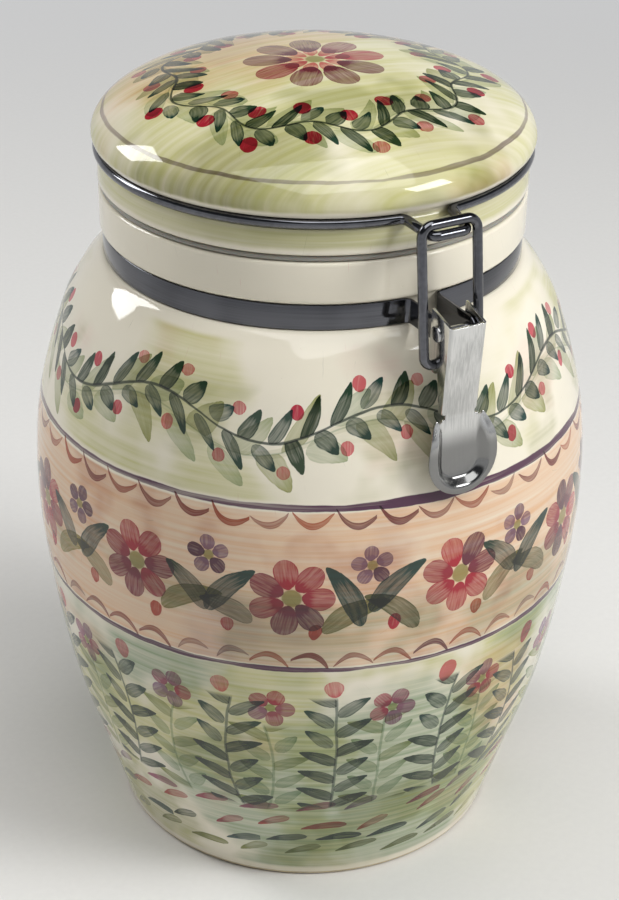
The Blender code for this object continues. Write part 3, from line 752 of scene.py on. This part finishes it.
across_vine = lid_paint.line(moss, 0.8, Width=0.0012, **wreath)
lid_paint.garland((teal, moss), 1.0, 36.0, across_vine, Length=0.0105, Seed=61.0, **dark_leaf)
for phase, sign in berry_sides:
    beside = {**wreath, "Row": wreath["Row"] + sign * lid_berry_step}
    berries = lid_paint.row(Count=18.0, Phase=phase, Loose=0.08, Seed=phase, **beside)
    lid_paint.marks((rose, rose), 1.2, berries, Length=0.0056, Width=0.0054, Taper=0.0)
lid_x, lid_y = split(lid_paint.position)[:2]
for inks, heart, start, length, width in (
    ((plum, rose), None, 0.0065, 0.0150, 0.0094),
    ((pink, rose), lid_heart, 0.0030, 0.0080, 0.0046),
):
    lid_paint.flowers(
        inks, 1.0, lid_x, lid_y, 0.3, heart, lid_heart_edge, dome_zone, Petals=9.0, Start=start,
        Length=length, Width=width,
    )
dressed("painted_lid", turned(lid_outline, turn_steps), lid_paint.fired(), "lid", "lid_glaze", "lid")


# Seal: a flat silicone ring that hugs the plug and is pressed between the rim and the skirt.
# It is moulded, slightly see-through, and matt.
seal_low, seal_high = 0.2185, 0.2200
seal_inner = 0.0533
seal_outer = 0.0645
seal_round = 0.0005
seal_round_steps, seal_turn_steps = 5, 128
seal_edge = seal_outer - seal_round
seal_outline = [(seal_inner, seal_low), (seal_inner, seal_high)]
seal_outline += arc((seal_edge, seal_high - seal_round), seal_round, pi / 2, 0, seal_round_steps)
seal_outline += arc((seal_edge, seal_low + seal_round), seal_round, 0, -pi / 2, seal_round_steps)

silicone, silicone_shader, seal_place = new_finish("grey_silicone")
cloud = noise(seal_place, 60.0, 3.0)[0]
mould_marks = stretched_noise(seal_place, (60.0, 60.0, 3000.0))
silicone_feeds = {
    "Base Color": mix(cloud, colour(140, 138, 130), colour(160, 158, 150)),
    "Roughness": rise(cloud, 0.3, 0.7, 0.38, 0.55),
    "Subsurface Weight": 0.25,
    "Subsurface Scale": 0.002,
    "Normal": bumped(mould_marks, 0.15, 0.0001),
}
feed(silicone_shader, silicone_feeds)
seal_ring = turned(seal_outline, seal_turn_steps, closed=True)
dressed("silicone_seal", seal_ring, silicone, "lid", "silicone", "lid_seal")


# Neck band: a cold-rolled steel strip sprung into the jar's groove, bright polished.
# Its two ends are bent out as round-ended ears, drilled for the lever's pin.
band_height = 0.0076
band_half = band_height / 2
band_thickness = 0.0008
band_outer = 0.0642
band_middle = 0.2012
band_run = 0.0060
band_edge_round = 0.00028
ear_x = 0.0044
ear_bend = 0.0020
ear_end_angle = radians(84)
band_steps, ear_bend_steps, hole_steps = 90, 10, 40
pin_out = 0.08117
pin_hole = 0.0017
rivet_radius = 0.0010
rivet_clearance = 0.0002
rivet_half_spacing = 0.0030
# How far the steel's tint darkens where it is mottled or carries painted shade
steel_darkening = 0.36
bend_steps = 14


def steel_marks_and_painted_shade():
    """Polish marks and random mottling on steel, with painted shade below a height and along creases."""
    group, (position, grain, low, high, painted_shade_from, painted_shade_to, painted_crease_shade) = new_effect(
        "steel_marks_and_painted_shade", Position=(0.0, 0.0, 0.0), Grain=(1.0, 1.0, 1.0), Low=0.06, High=0.14,
        Worn_From=-2.0, Worn_To=-1.0, Crease=0.0,
    )
    lines = noise(on_vectors("MULTIPLY", position, grain), 1.0, 4.0)[0]
    both = times_plus(lines, 0.5, times(noise(position, 70.0, 1.0)[0], 0.5))
    roughness = times_plus(rise(both, 0.35, 0.65), minus(high, low), low)
    # Painted shade below a given height: a painted dark reflection over the lever's lower thumb pad
    painted_pad_shade = rise(split(position)[2], painted_shade_from, painted_shade_to, 1.0, 0.0)
    # Random mottling, with painted shade from the height and from the crease, darkens the tint
    mottle_and_painted_shade = reckon("MAXIMUM", plus(painted_pad_shade, painted_crease_shade), rise(both, 0.40, 0.64, 0.0, 0.45))
    return finished(group, Roughness=roughness, Height=lines, Tarnish=mottle_and_painted_shade)


steel_marks = steel_marks_and_painted_shade()


def polished_steel(name, tint, grain, low, high, grain_depth, painted_shade_from=-2.0, painted_shade_to=-1.0):
    """Steel with fine polish marks drawn out along the grain, and a painted dark reflection that sets in
    between two heights and is full below them.
    """
    material, shader, position = new_finish(name)
    # Painted shade along creases, read from the piece's vertices
    painted_crease_shade = add_node(material.node_tree, "Attribute", attribute_name="painted_crease_shade").outputs["Fac"]
    marks = use(
        material.node_tree, steel_marks, Position=position, Grain=grain, Low=low, High=high,
        Worn_From=painted_shade_from, Worn_To=painted_shade_to, Crease=painted_crease_shade,
    )
    darkened_tint = (*(share * steel_darkening for share in tint[:3]), 1.0)
    steel_feeds = {
        "Base Color": mix(marks["Tarnish"], tint, darkened_tint),
        "Metallic": 1.0,
        "Roughness": marks["Roughness"],
        "Normal": bumped(marks["Height"], 0.3, grain_depth),
    }
    feed(shader, steel_feeds)
    return material


def bend_path(corners, radius, steps):
    """A path through the corners, each inner corner turned with the same bend radius."""
    points = [Vector(corners[0])]
    for before, corner, after in zip(corners, corners[1:], corners[2:]):
        corner = Vector(corner)
        into = (Vector(before) - corner).normalized()
        away = (Vector(after) - corner).normalized()
        half = into.angle(away) / 2
        centre = corner + (into + away).normalized() * (radius / sin(half))
        start = corner + into * (radius / tan(half)) - centre
        end = corner + away * (radius / tan(half)) - centre
        turn = start.angle(end)
        for share in between(0, 1, steps):
            points.append(centre + (start * sin((1 - share) * turn) + end * sin(share * turn)) / sin(turn))
    points.append(Vector(corners[-1]))
    return points


def both_sides(half):
    """A row of points from left to right, from its right half, which starts in the middle."""
    return [(-x, *rest) for x, *rest in reversed(half[1:])] + half


def ear_stations(x, pivot_y):
    """The round end of an ear about its pivot, as (x, y, half height)."""
    sign = 1 if pivot_y > 0 else -1
    return [
        (x, pivot_y + sign * band_half * sin(a), band_half * cos(a))
        for a in between(0, ear_end_angle, bend_steps)
    ]


def new_parts(made, kind):
    """The vertices or edges that an extrusion made."""
    return [part for part in made["geom"] if isinstance(part, kind)]


def strip(stations):
    """A flat strip on edge, drawn out from one upright edge through stations (x, y, half height)."""
    bm = bmesh.new()
    edge = bm.edges.new((bm.verts.new((0, 0, 0)), bm.verts.new((0, 0, 1))))
    for k, (x, y, half) in enumerate(stations):
        if k:
            edge = new_parts(bmesh.ops.extrude_edge_only(bm, edges=[edge]), bmesh.types.BMEdge)[0]
        low, high = sorted(edge.verts, key=lambda vert: vert.co.z)
        low.co, high.co = (x, y, band_middle - half), (x, y, band_middle + half)
    bmesh.ops.recalc_face_normals(bm, faces=bm.faces)
    return bm


def set_down(bm, place, turn):
    """Turns a shape and puts it in its place."""
    pose = Matrix.Translation(place) @ Euler(turn).to_matrix().to_4x4()
    bmesh.ops.transform(bm, matrix=pose, verts=bm.verts)


def drill(name, target, radius, half_length, place, turn):
    """Cuts a round hole through a piece, at a place and turn of its own."""
    bm = bmesh.new()
    bmesh.ops.create_cone(
        bm, cap_ends=True, segments=hole_steps, radius1=radius, radius2=radius, depth=2 * half_length
    )
    set_down(bm, place, turn)
    cutter = placed(name, smooth_mesh(name, bm))
    cut = target.modifiers.new(name, "BOOLEAN")
    cut.operation, cut.solver, cut.object = "DIFFERENCE", "EXACT", cutter
    return cutter


def pressed(piece, thickness, offset, edge_round, holes):
    """Gives a sheet its thickness, rounds its edges, drills it, and keeps the result as its mesh."""
    solid = piece.modifiers.new("sheet", "SOLIDIFY")
    solid.thickness, solid.offset, solid.use_even_offset = thickness, offset, True
    soften = piece.modifiers.new("edges", "BEVEL")
    soften.width, soften.segments, soften.limit_method = edge_round, 3, "ANGLE"
    soften.angle_limit, soften.use_clamp_overlap = radians(50), False
    cutters = [drill(f"hole_{k}", piece, *hole) for k, hole in enumerate(holes)]
    graph = bpy.context.evaluated_depsgraph_get()
    result = bpy.data.meshes.new_from_object(piece.evaluated_get(graph))
    piece.modifiers.clear()
    piece.data = shaded(result)
    for cutter in cutters:
        bpy.data.objects.remove(cutter)


# The band's and bracket's steel has a darkened tint, a painted dark reflection on polished steel
dark_tinted_band_steel = polished_steel(
    "band_steel_painted_dark_reflection", colour(98, 99, 104), (30.0, 30.0, 4000.0), 0.06, 0.16, 0.00001
)
band_radius = band_outer - band_thickness / 2
band_leave = asin((ear_x + band_run) / band_radius)
band_angles = between(pi, band_leave, band_steps)
band_side = [(band_radius * sin(a), -band_radius * cos(a), band_half) for a in band_angles]
corner_y = -band_radius * cos(band_leave) - tan(band_leave) * (band_radius * sin(band_leave) - ear_x)
ear_corners = [band_side[-1][:2] + (0,), (ear_x, corner_y, 0), (ear_x, -pin_out, 0)]
ear_turn = bend_path(ear_corners, ear_bend, ear_bend_steps)
band_side += [(p.x, p.y, band_half) for p in ear_turn[1:-1]] + ear_stations(ear_x, -pin_out)
band_strip = strip(both_sides(band_side))
band = dressed("steel_neck_band", band_strip, dark_tinted_band_steel, "jar", "polished_steel", "neck_band")
rivet_angle = asin(rivet_half_spacing / band_outer)
rivet_places = [
    (Vector((band_outer * sin(a), band_outer * cos(a), band_middle)), (-pi / 2, 0, -a))
    for a in (-rivet_angle, rivet_angle)
]
sideways = (0, pi / 2, 0)
rivet_hole = rivet_radius + rivet_clearance
through_ears, through_band = 0.008, 0.002
band_holes = [(pin_hole, through_ears, (0, -pin_out, band_middle), sideways)]
band_holes += [(rivet_hole, through_band, spot, turn) for spot, turn in rivet_places]
pressed(band, band_thickness, 0, band_edge_round, band_holes)


# Hinge bracket: a small steel stamping, a plate curved to the band with an ear bent back at each side.
# Its ears hold the two ends of the lid's wire, and two domed rivets hold it to the band.
bracket_thickness = 0.0010
bracket_bend = 0.0012
bracket_x = 0.0065
bracket_gap = 0.0003
bracket_edge_round = 0.00014
through_bracket_ears, through_plate = 0.010, 0.003
hinge_out = 0.0722
wire_hole = 0.0017
rivet_head_radius = 0.0019
rivet_head_height = 0.0009
plate_steps, rivet_head_steps, rivet_turn_steps = 8, 10, 40

plate_radius = band_outer + bracket_gap + bracket_thickness / 2
bend_x, bend_out = bracket_x - bracket_bend, plate_radius + bracket_bend
plate_leave = asin(bend_x / bend_out)
plate_angles = between(0, plate_leave, plate_steps)[:-1]
bend_centre = (bend_x, bend_out * cos(plate_leave))
plate_bend = arc(bend_centre, bracket_bend, -pi / 2 - plate_leave, 0, ear_bend_steps)
bracket_side = [(plate_radius * sin(a), plate_radius * cos(a), band_half) for a in plate_angles]
bracket_side += [(x, y, band_half) for x, y in plate_bend] + ear_stations(bracket_x, hinge_out)
bracket_strip = strip(both_sides(bracket_side))
bracket = dressed(
    "steel_hinge_bracket", bracket_strip, dark_tinted_band_steel, "jar", "polished_steel", "hinge_bracket"
)
bracket_holes = [(wire_hole, through_bracket_ears, (0, hinge_out, band_middle), sideways)]
bracket_holes += [(rivet_hole, through_plate, spot, turn) for spot, turn in rivet_places]
pressed(bracket, bracket_thickness, 0, bracket_edge_round, bracket_holes)

satin_look = {"grain": (2600.0, 2600.0, 70.0), "low": 0.13, "high": 0.24, "grain_depth": 0.000008}
satin_steel = polished_steel("satin_stamped_steel", colour(198, 198, 198), **satin_look)
under_head = band_outer + bracket_gap + bracket_thickness + bracket_gap
shank_end = band_outer - band_thickness - under_head
rivet_outline = [(0, shank_end), (rivet_radius, shank_end), (rivet_radius, 0), (rivet_head_radius, 0)]
rivet_outline += [
    (rivet_head_radius * cos(a), rivet_head_height * sin(a))
    for a in between(0, pi / 2, rivet_head_steps)[1:]
]
for name, (spot, turn), node in zip(
    ("left_rivet", "right_rivet"), rivet_places, ("bracket_rivet_left", "bracket_rivet_right")
):
    bm = turned(rivet_outline, rivet_turn_steps)
    head_seat = spot * (under_head / band_outer)
    set_down(bm, (head_seat.x, head_seat.y, band_middle), turn)
    dressed(name, bm, satin_steel, "jar", "satin_steel", node)


# Lid wire: one length of 3 mm steel wire, sprung into the groove round the lid.
# At the front it is bent out to a beak for the latch, and at the back its ends turn down and in to the hinge.
lid_wire_radius = 0.0015
beak_reach = 0.0118
beak_half_width = 0.0057
beak_flare = 0.0019
beak_drop = 0.0015
wire_bend = 0.0026
wire_bend_lead = 0.0030
hinge_leg_half_width = 0.0100
hinge_wire_end = 0.0057
ring_steps = 110


def wire(name, points, radius):
    """A bent wire: a round tube along a path."""
    curve = bpy.data.curves.new(name, "CURVE")
    curve.dimensions = "3D"
    curve.bevel_depth, curve.bevel_resolution, curve.use_fill_caps = radius, 10, True
    spline = curve.splines.new("POLY")
    spline.points.add(len(points) - 1)
    spline.use_smooth = True
    for spot, point in zip(spline.points, points):
        spot.co = (*point, 1.0)
    return curve


front = asin((beak_half_width + beak_flare + wire_bend_lead) / wire_seat_radius)
back = asin((hinge_leg_half_width + wire_bend_lead) / wire_seat_radius)
ring = [
    Vector((wire_seat_radius * sin(a), -wire_seat_radius * cos(a), wire_up))
    for a in between(front, pi - back, ring_steps)
]
beak_up = wire_up - beak_drop
beak_tip = wire_seat_radius + beak_reach
front_corner = ring[0] + wire_bend_lead * Vector((-cos(front), -sin(front), 0))
beak_corners = [ring[0], front_corner, (beak_half_width, -beak_tip, beak_up), (0, -beak_tip, beak_up)]
beak = bend_path(beak_corners, wire_bend, bend_steps)
back_corner = ring[-1] + wire_bend_lead * Vector((-cos(back), sin(back), 0))
leg_corners = [ring[-1], back_corner, (back_corner.x, hinge_out, wire_up)]
leg_corners += [(back_corner.x, hinge_out, band_middle), (hinge_wire_end, hinge_out, band_middle)]
leg = bend_path(leg_corners, wire_bend, bend_steps)
lid_wire_points = both_sides(beak[:0:-1] + ring + leg[1:])
# The wires' steel has a darkened tint, a painted dark reflection on polished steel
drawn_steel = polished_steel(
    "drawn_wire_steel", colour(110, 111, 116), (700.0, 700.0, 700.0), 0.05, 0.12, 0.000005
)
bail = wire("lid_bail_wire", lid_wire_points, lid_wire_radius)
dressed("lid_bail_wire", bail, drawn_steel, "lid", "polished_steel", "lid_wire")


# Lever pin: a plain steel shank through the band's ears and the lever, peened over at each end.
# It is turned from one outline and laid on its side. The lever swings on it.
pin_radius = 0.0015
pin_head_radius = 0.0024
pin_head_height = 0.0008
pin_head_seat = 0.0060
pin_tip = pin_head_seat + pin_head_height
pin_turn_steps = 48
pin_outline = [(0, -pin_tip), (pin_radius, -pin_tip)]
pin_outline += [
    (pin_radius + (pin_head_radius - pin_radius) * sin(a), -pin_tip + pin_head_height / 2 * (1 - cos(a)))
    for a in between(0, pi / 2, round_steps)[1:]
]
pin_outline += [(pin_head_radius, -pin_head_seat), (pin_radius, -pin_head_seat)]
pin_outline += [(radius, -up) for radius, up in reversed(pin_outline)]
bm = turned(pin_outline, pin_turn_steps)
set_down(bm, (0, -pin_out, band_middle), sideways)
dressed("peened_pin", bm, satin_steel, "jar", "satin_steel", "lever_pin")


# Latch lever: one stamping of 0.8 mm steel, bent to a channel above and dished to a thumb spoon below.
# The channel's flanges carry the pin and have lobes for the link, and two relief notches end its corners.
sheet = 0.0008
sheet_edge_round = 0.00012
lever_half = 0.0059
lever_corner = 0.0010
web_half = lever_half - lever_corner
web_reach = 0.0005
face_offset = 0.0066
face_top_rise = 0.0040
face_length = 0.0284
face_tilt = radians(5.0)
link_pivot_out, link_pivot_up = 0.07997, 0.1913
link_hole = 0.00165
lobe_radius = 0.00265
lobe_end = radians(315)
flange_corner_rise = 0.0067
flange_corner_inset = 0.0032
narrow_flange = 0.0024
notch = 0.0014
relief_radius = 0.0008
through_sheet = 0.002
pad_length = 0.0190
pad_half = 0.0056
pad_corner = 0.0040
thumb_clearance = 0.0030
spoon_half = 0.0115
dish_width = 0.0052
dish_rise = 0.0026
dish_steps = 14
dish_top_share = 0.62
dish_roll = 0.14
# Painted shade along the crease where the pad meets the dish's wall: its place across the wall, its fade
# towards the pad's tip and its strength
crease_share = 0.22
crease_fade = 0.0045
crease_shade = 0.9
# Where the painted dark reflection over the thumb pad sets in and where it is full, as shares of the pad's
# length below its foot
pad_shade_starts, pad_shade_full = 0.12, 0.58
wing_overhang = 0.0021
full_depth_share = 0.60
lobe_steps, corner_steps, wing_steps = 16, 16, 12

tilt = Vector((sin(face_tilt), cos(face_tilt)))
foot_place = Vector((pin_out + face_offset, band_middle)) - tilt * (face_length - face_top_rise)
head_place = foot_place + tilt * face_length
foot_edge = foot_place + tilt * notch / 2
widest_along = pad_length + dish_width - spoon_half
pad_up = foot_place.y - pad_length
down = (Vector((radius_at(outside, pad_up) + thumb_clearance, pad_up)) - foot_place).normalized()
outward = Vector((-down.y, down.x))
lobe = arc((link_pivot_out, link_pivot_up), lobe_radius, pi, lobe_end, lobe_steps)
flange = [
    head_place,
    (pin_out - flange_corner_inset, band_middle + flange_corner_rise),
    (link_pivot_out - lobe_radius, (band_middle + link_pivot_up) / 2),
    *lobe,
    foot_edge - Vector((narrow_flange, 0)),
    foot_edge,
]


def spoon_point(side, along, lift=0.0):
    out, up = foot_place + down * along + outward * lift
    return Vector((side, -out, up))


def smooth_share(share):
    """A smooth rise from 0 to 1, held at both ends."""
    held = min(max(share, 0), 1)
    return held * held * (3 - 2 * held)


def dish_wall(share):
    """The dish wall's rise: it curves up out of the pad, and its lip rolls over and droops a little."""
    droop = max(share - dish_top_share, 0) / (1 - dish_top_share)
    return smooth_share(share / dish_top_share) - dish_roll * droop * droop


def on_wall(near, far, share, lift):
    """A point of the dish's wall, some share of the way from the pad's line to the lip's."""
    side, along = (start + (end - start) * share for start, end in zip(near, far))
    return spoon_point(side, along, lift * dish_wall(share))


straight = pad_length - pad_corner
pad_line = [(0, pad_length), *arc((pad_half - pad_corner, straight), pad_corner, pi / 2, 0, corner_steps)]
pad_line += [(pad_half, along) for along in between(straight, notch / 2, wing_steps)[1:-1]]
pad_line += [(web_half, notch / 2)]
wing_angle = acos((lever_half + wing_overhang) / spoon_half)
upper = (widest_along - notch / 2) / sin(wing_angle)
lip_line = [
    (spoon_half * cos(a), widest_along + (spoon_half if a > 0 else upper) * sin(a))
    for a in between(pi / 2, -wing_angle, len(pad_line) - 1)
]
pad_line, lip_line = both_sides(pad_line), both_sides(lip_line)

# Channel: the flange's outline drawn out sideways, open at the back, with its two long corners rounded
bm = bmesh.new()
painted_crease_layer = bm.verts.layers.float.new("painted_crease_shade")
profile = bm.faces.new([bm.verts.new((-lever_half, -out, up)) for out, up in flange])
far_flange = bmesh.ops.extrude_face_region(bm, geom=[profile], use_keep_orig=True)
bmesh.ops.translate(bm, verts=new_parts(far_flange, bmesh.types.BMVert), vec=(2 * lever_half, 0, 0))
web_y = -(head_place.x + foot_edge.x) / 2
between_flanges = [face for face in bm.faces if abs(face.normal.x) < 0.5]
backs = [face for face in between_flanges if abs(face.calc_center_median().y - web_y) > web_reach]
bmesh.ops.delete(bm, geom=backs, context="FACES")
web = next(face for face in bm.faces if abs(face.normal.x) < 0.5)
corners = [edge for edge in web.edges if abs(edge.verts[0].co.x - edge.verts[1].co.x) < merge_distance]
bmesh.ops.bevel(
    bm, geom=corners, offset=lever_corner, offset_type="OFFSET", segments=6, profile=0.5, affect="EDGES",
    material=-1,
)
web = max((face for face in bm.faces if abs(face.normal.x) < 0.1), key=lambda face: face.calc_area())
foot_line = min(web.edges, key=lambda edge: edge.verts[0].co.z + edge.verts[1].co.z)
for vert in new_parts(bmesh.ops.extrude_edge_only(bm, edges=[foot_line]), bmesh.types.BMVert):
    vert.co = (vert.co.x, -foot_place.x, foot_place.y)

# Spoon: the pad, and the dish's wall drawn out from its rim ring by ring
rim = [bm.verts.new(spoon_point(side, along)) for side, along in pad_line]
bm.faces.new(rim + [bm.verts.new(spoon_point(side, 0)) for side in (web_half, -web_half)])
edges = [bm.edges.get(pair) for pair in zip(rim, rim[1:])]
for share in between(0, 1, dish_steps)[1:]:
    grown = bmesh.ops.extrude_edge_only(bm, edges=edges)
    verts, edges = new_parts(grown, bmesh.types.BMVert), new_parts(grown, bmesh.types.BMEdge)
    for near, far in zip(pad_line, lip_line):
        depth_share = smooth_share(far[1] / (full_depth_share * widest_along))
        lift = dish_rise * depth_share
        start = on_wall(near, far, share - 1 / dish_steps, lift)
        vert = min(verts, key=lambda v: (v.co - start).length)
        verts.remove(vert)
        vert.co = on_wall(near, far, share, lift)
        # Painted shade along the crease, kept on the vertices for the steel's colour
        beside_pad = smooth_share((pad_length - near[1]) / crease_fade) * depth_share
        vert[painted_crease_layer] = crease_shade * beside_pad * max(1 - abs(share - crease_share) / crease_share, 0)
bmesh.ops.remove_doubles(bm, verts=bm.verts, dist=merge_distance)
bmesh.ops.recalc_face_normals(bm, faces=bm.faces)
if max(bm.faces, key=lambda face: abs(face.normal.y) * face.calc_area()).normal.y > 0:
    bmesh.ops.reverse_faces(bm, faces=bm.faces)
# The lever's steel carries the painted dark reflection over the lower pad and the painted crease shade
lever_steel = polished_steel(
    "lever_steel_painted_shade", colour(216, 216, 214), **satin_look,
    painted_shade_from=foot_place.y - pad_shade_full * pad_length, painted_shade_to=foot_place.y - pad_shade_starts * pad_length,
)
lever = dressed("thumb_lever", bm, lever_steel, "lever", "satin_steel", "latch_lever")
relief_x, relief_up = lever_half + relief_radius, foot_place.y - notch / 2
lever_holes = [
    (pin_hole, through_ears, (0, -pin_out, band_middle), sideways),
    (link_hole, through_ears, (0, -link_pivot_out, link_pivot_up), sideways),
]
lever_holes += [
    (relief_radius, through_sheet, (x, -foot_place.x, relief_up), (pi / 2, 0, 0))
    for x in (relief_x, -relief_x)
]
pressed(lever, sheet, -1, sheet_edge_round, lever_holes)


# Latch link: a loop of 2.9 mm steel wire, open below, whose two ends hook into the lever's lobes.
# The lever pulls its top bar down over the lid wire's beak.
link_wire_radius = 0.00145
link_half_width = 0.00905
link_corner = 0.0034
link_hook_bend = 0.0028
link_end = lever_half - 2 * sheet
bar_out, bar_up = 0.0757, 0.23165
hook_corner = (link_half_width, -link_pivot_out, link_pivot_up)
bar_corner = (link_half_width, -bar_out, bar_up)
hook = bend_path([(link_end, *hook_corner[1:]), hook_corner, bar_corner], link_hook_bend, bend_steps)
top = bend_path([hook_corner, bar_corner, (0, *bar_corner[1:])], link_corner, bend_steps)
link_loop = wire("wire_link", both_sides(top[:0:-1] + hook[-2::-1]), link_wire_radius)
dressed("wire_link", link_loop, drawn_steel, "link", "polished_steel", "latch_link")


# Studio: a plain pale floor out to a pale horizon, under a dim ceiling that gives the steel its contrast.
# Two window-like softboxes, a large soft one above and a main light from the right light it.
floor_radius, floor_steps = 6.0, 96
haze_start, haze_end = 0.35, 1.30
ceiling_start, ceiling_end = 0.20, 0.45
horizon_grey = colour(206, 207, 209)
world_fill = 0.35


def seen(tree):
    """1 for what the camera sees, straight, in a reflection or through glass."""
    ray = add_node(tree, "LightPath").outputs
    return plus(ray["Is Camera Ray"], plus(ray["Is Glossy Ray"], ray["Is Transmission Ray"]))


bm = bmesh.new()
bmesh.ops.create_circle(bm, cap_ends=True, segments=floor_steps, radius=floor_radius)
floor = placed("studio_floor", smooth_mesh("studio_floor", bm))
paper, paper_shader, floor_place = new_finish("pale_paper")
paper_tree = paper.node_tree
fibre = noise(floor_place, 400.0, 4.0)[0]
paper_tint = mix(fibre, colour(224, 223, 220), colour(230, 229, 226))
feed(paper_shader, {"Base Color": paper_tint, "Roughness": 0.75})
haze = times(seen(paper_tree), rise(reach_of(floor_place), haze_start, haze_end))
horizon = add_node(paper_tree, "Emission", {"Color": horizon_grey, "Strength": 1.0})
faded = add_node(paper_tree, "MixShader", {0: haze, 1: paper_shader.outputs[0], 2: horizon.outputs[0]})
feed(paper_tree.nodes["Material Output"], {"Surface": faded.outputs[0]})
floor.data.materials.append(paper)

world = bpy.data.worlds.new("studio")
bpy.context.scene.world = world
world.use_nodes = True
sky_up = split(add_node(world.node_tree, "TexCoord").outputs["Generated"])[2]
sky = mix(rise(sky_up, ceiling_start, ceiling_end), horizon_grey, colour(70, 72, 76))
sky_strength = rise(seen(world.node_tree), 0.0, 1.0, world_fill, 1.0)
feed(world.node_tree.nodes["Background"], {"Color": sky, "Strength": sky_strength})

camera_target = Vector((0, 0, 0.1237))
for name, azimuth, elevation, distance, width, height, power, reflected in (
    ("window_left", -142, 32, 1.7, 0.50, 0.75, 11.0, True),
    ("window_right", 35, 36, 1.6, 0.55, 0.40, 9.0, True),
    ("overhead", 0, 76, 1.6, 1.40, 1.40, 16.0, True),
    ("main_right", 46, 38, 2.2, 0.80, 0.80, 14.5, False),
):
    lamp = bpy.data.lights.new(name, "AREA")
    lamp.shape, lamp.size, lamp.size_y, lamp.energy = "RECTANGLE", width, height, power
    light = placed(name, lamp)
    a, e = radians(azimuth), radians(elevation)
    away = Vector((sin(a) * cos(e), -cos(a) * cos(e), sin(e)))
    light.location = camera_target + away * distance
    light.rotation_euler = away.to_track_quat("Z", "Y").to_euler()
    light.visible_camera, light.visible_glossy = False, reflected

camera_azimuth, camera_elevation, camera_roll = radians(-29.6), radians(28.80), radians(0.79)
camera_distance = 0.6947
camera = bpy.data.cameras.new("camera")
camera.lens, camera.sensor_width = 85.7, 36.0
camera.clip_start = 0.01
viewer = placed("camera", camera)
aim = Euler((pi / 2 - camera_elevation, 0, camera_azimuth)).to_matrix().to_4x4()
pose = Matrix.Translation(camera_target) @ aim @ Matrix.Rotation(camera_roll, 4, "Z")
viewer.matrix_world = pose @ Matrix.Translation((0, 0, camera_distance))
bpy.context.scene.camera = viewer
bpy.context.scene.view_settings.view_transform = "Standard"
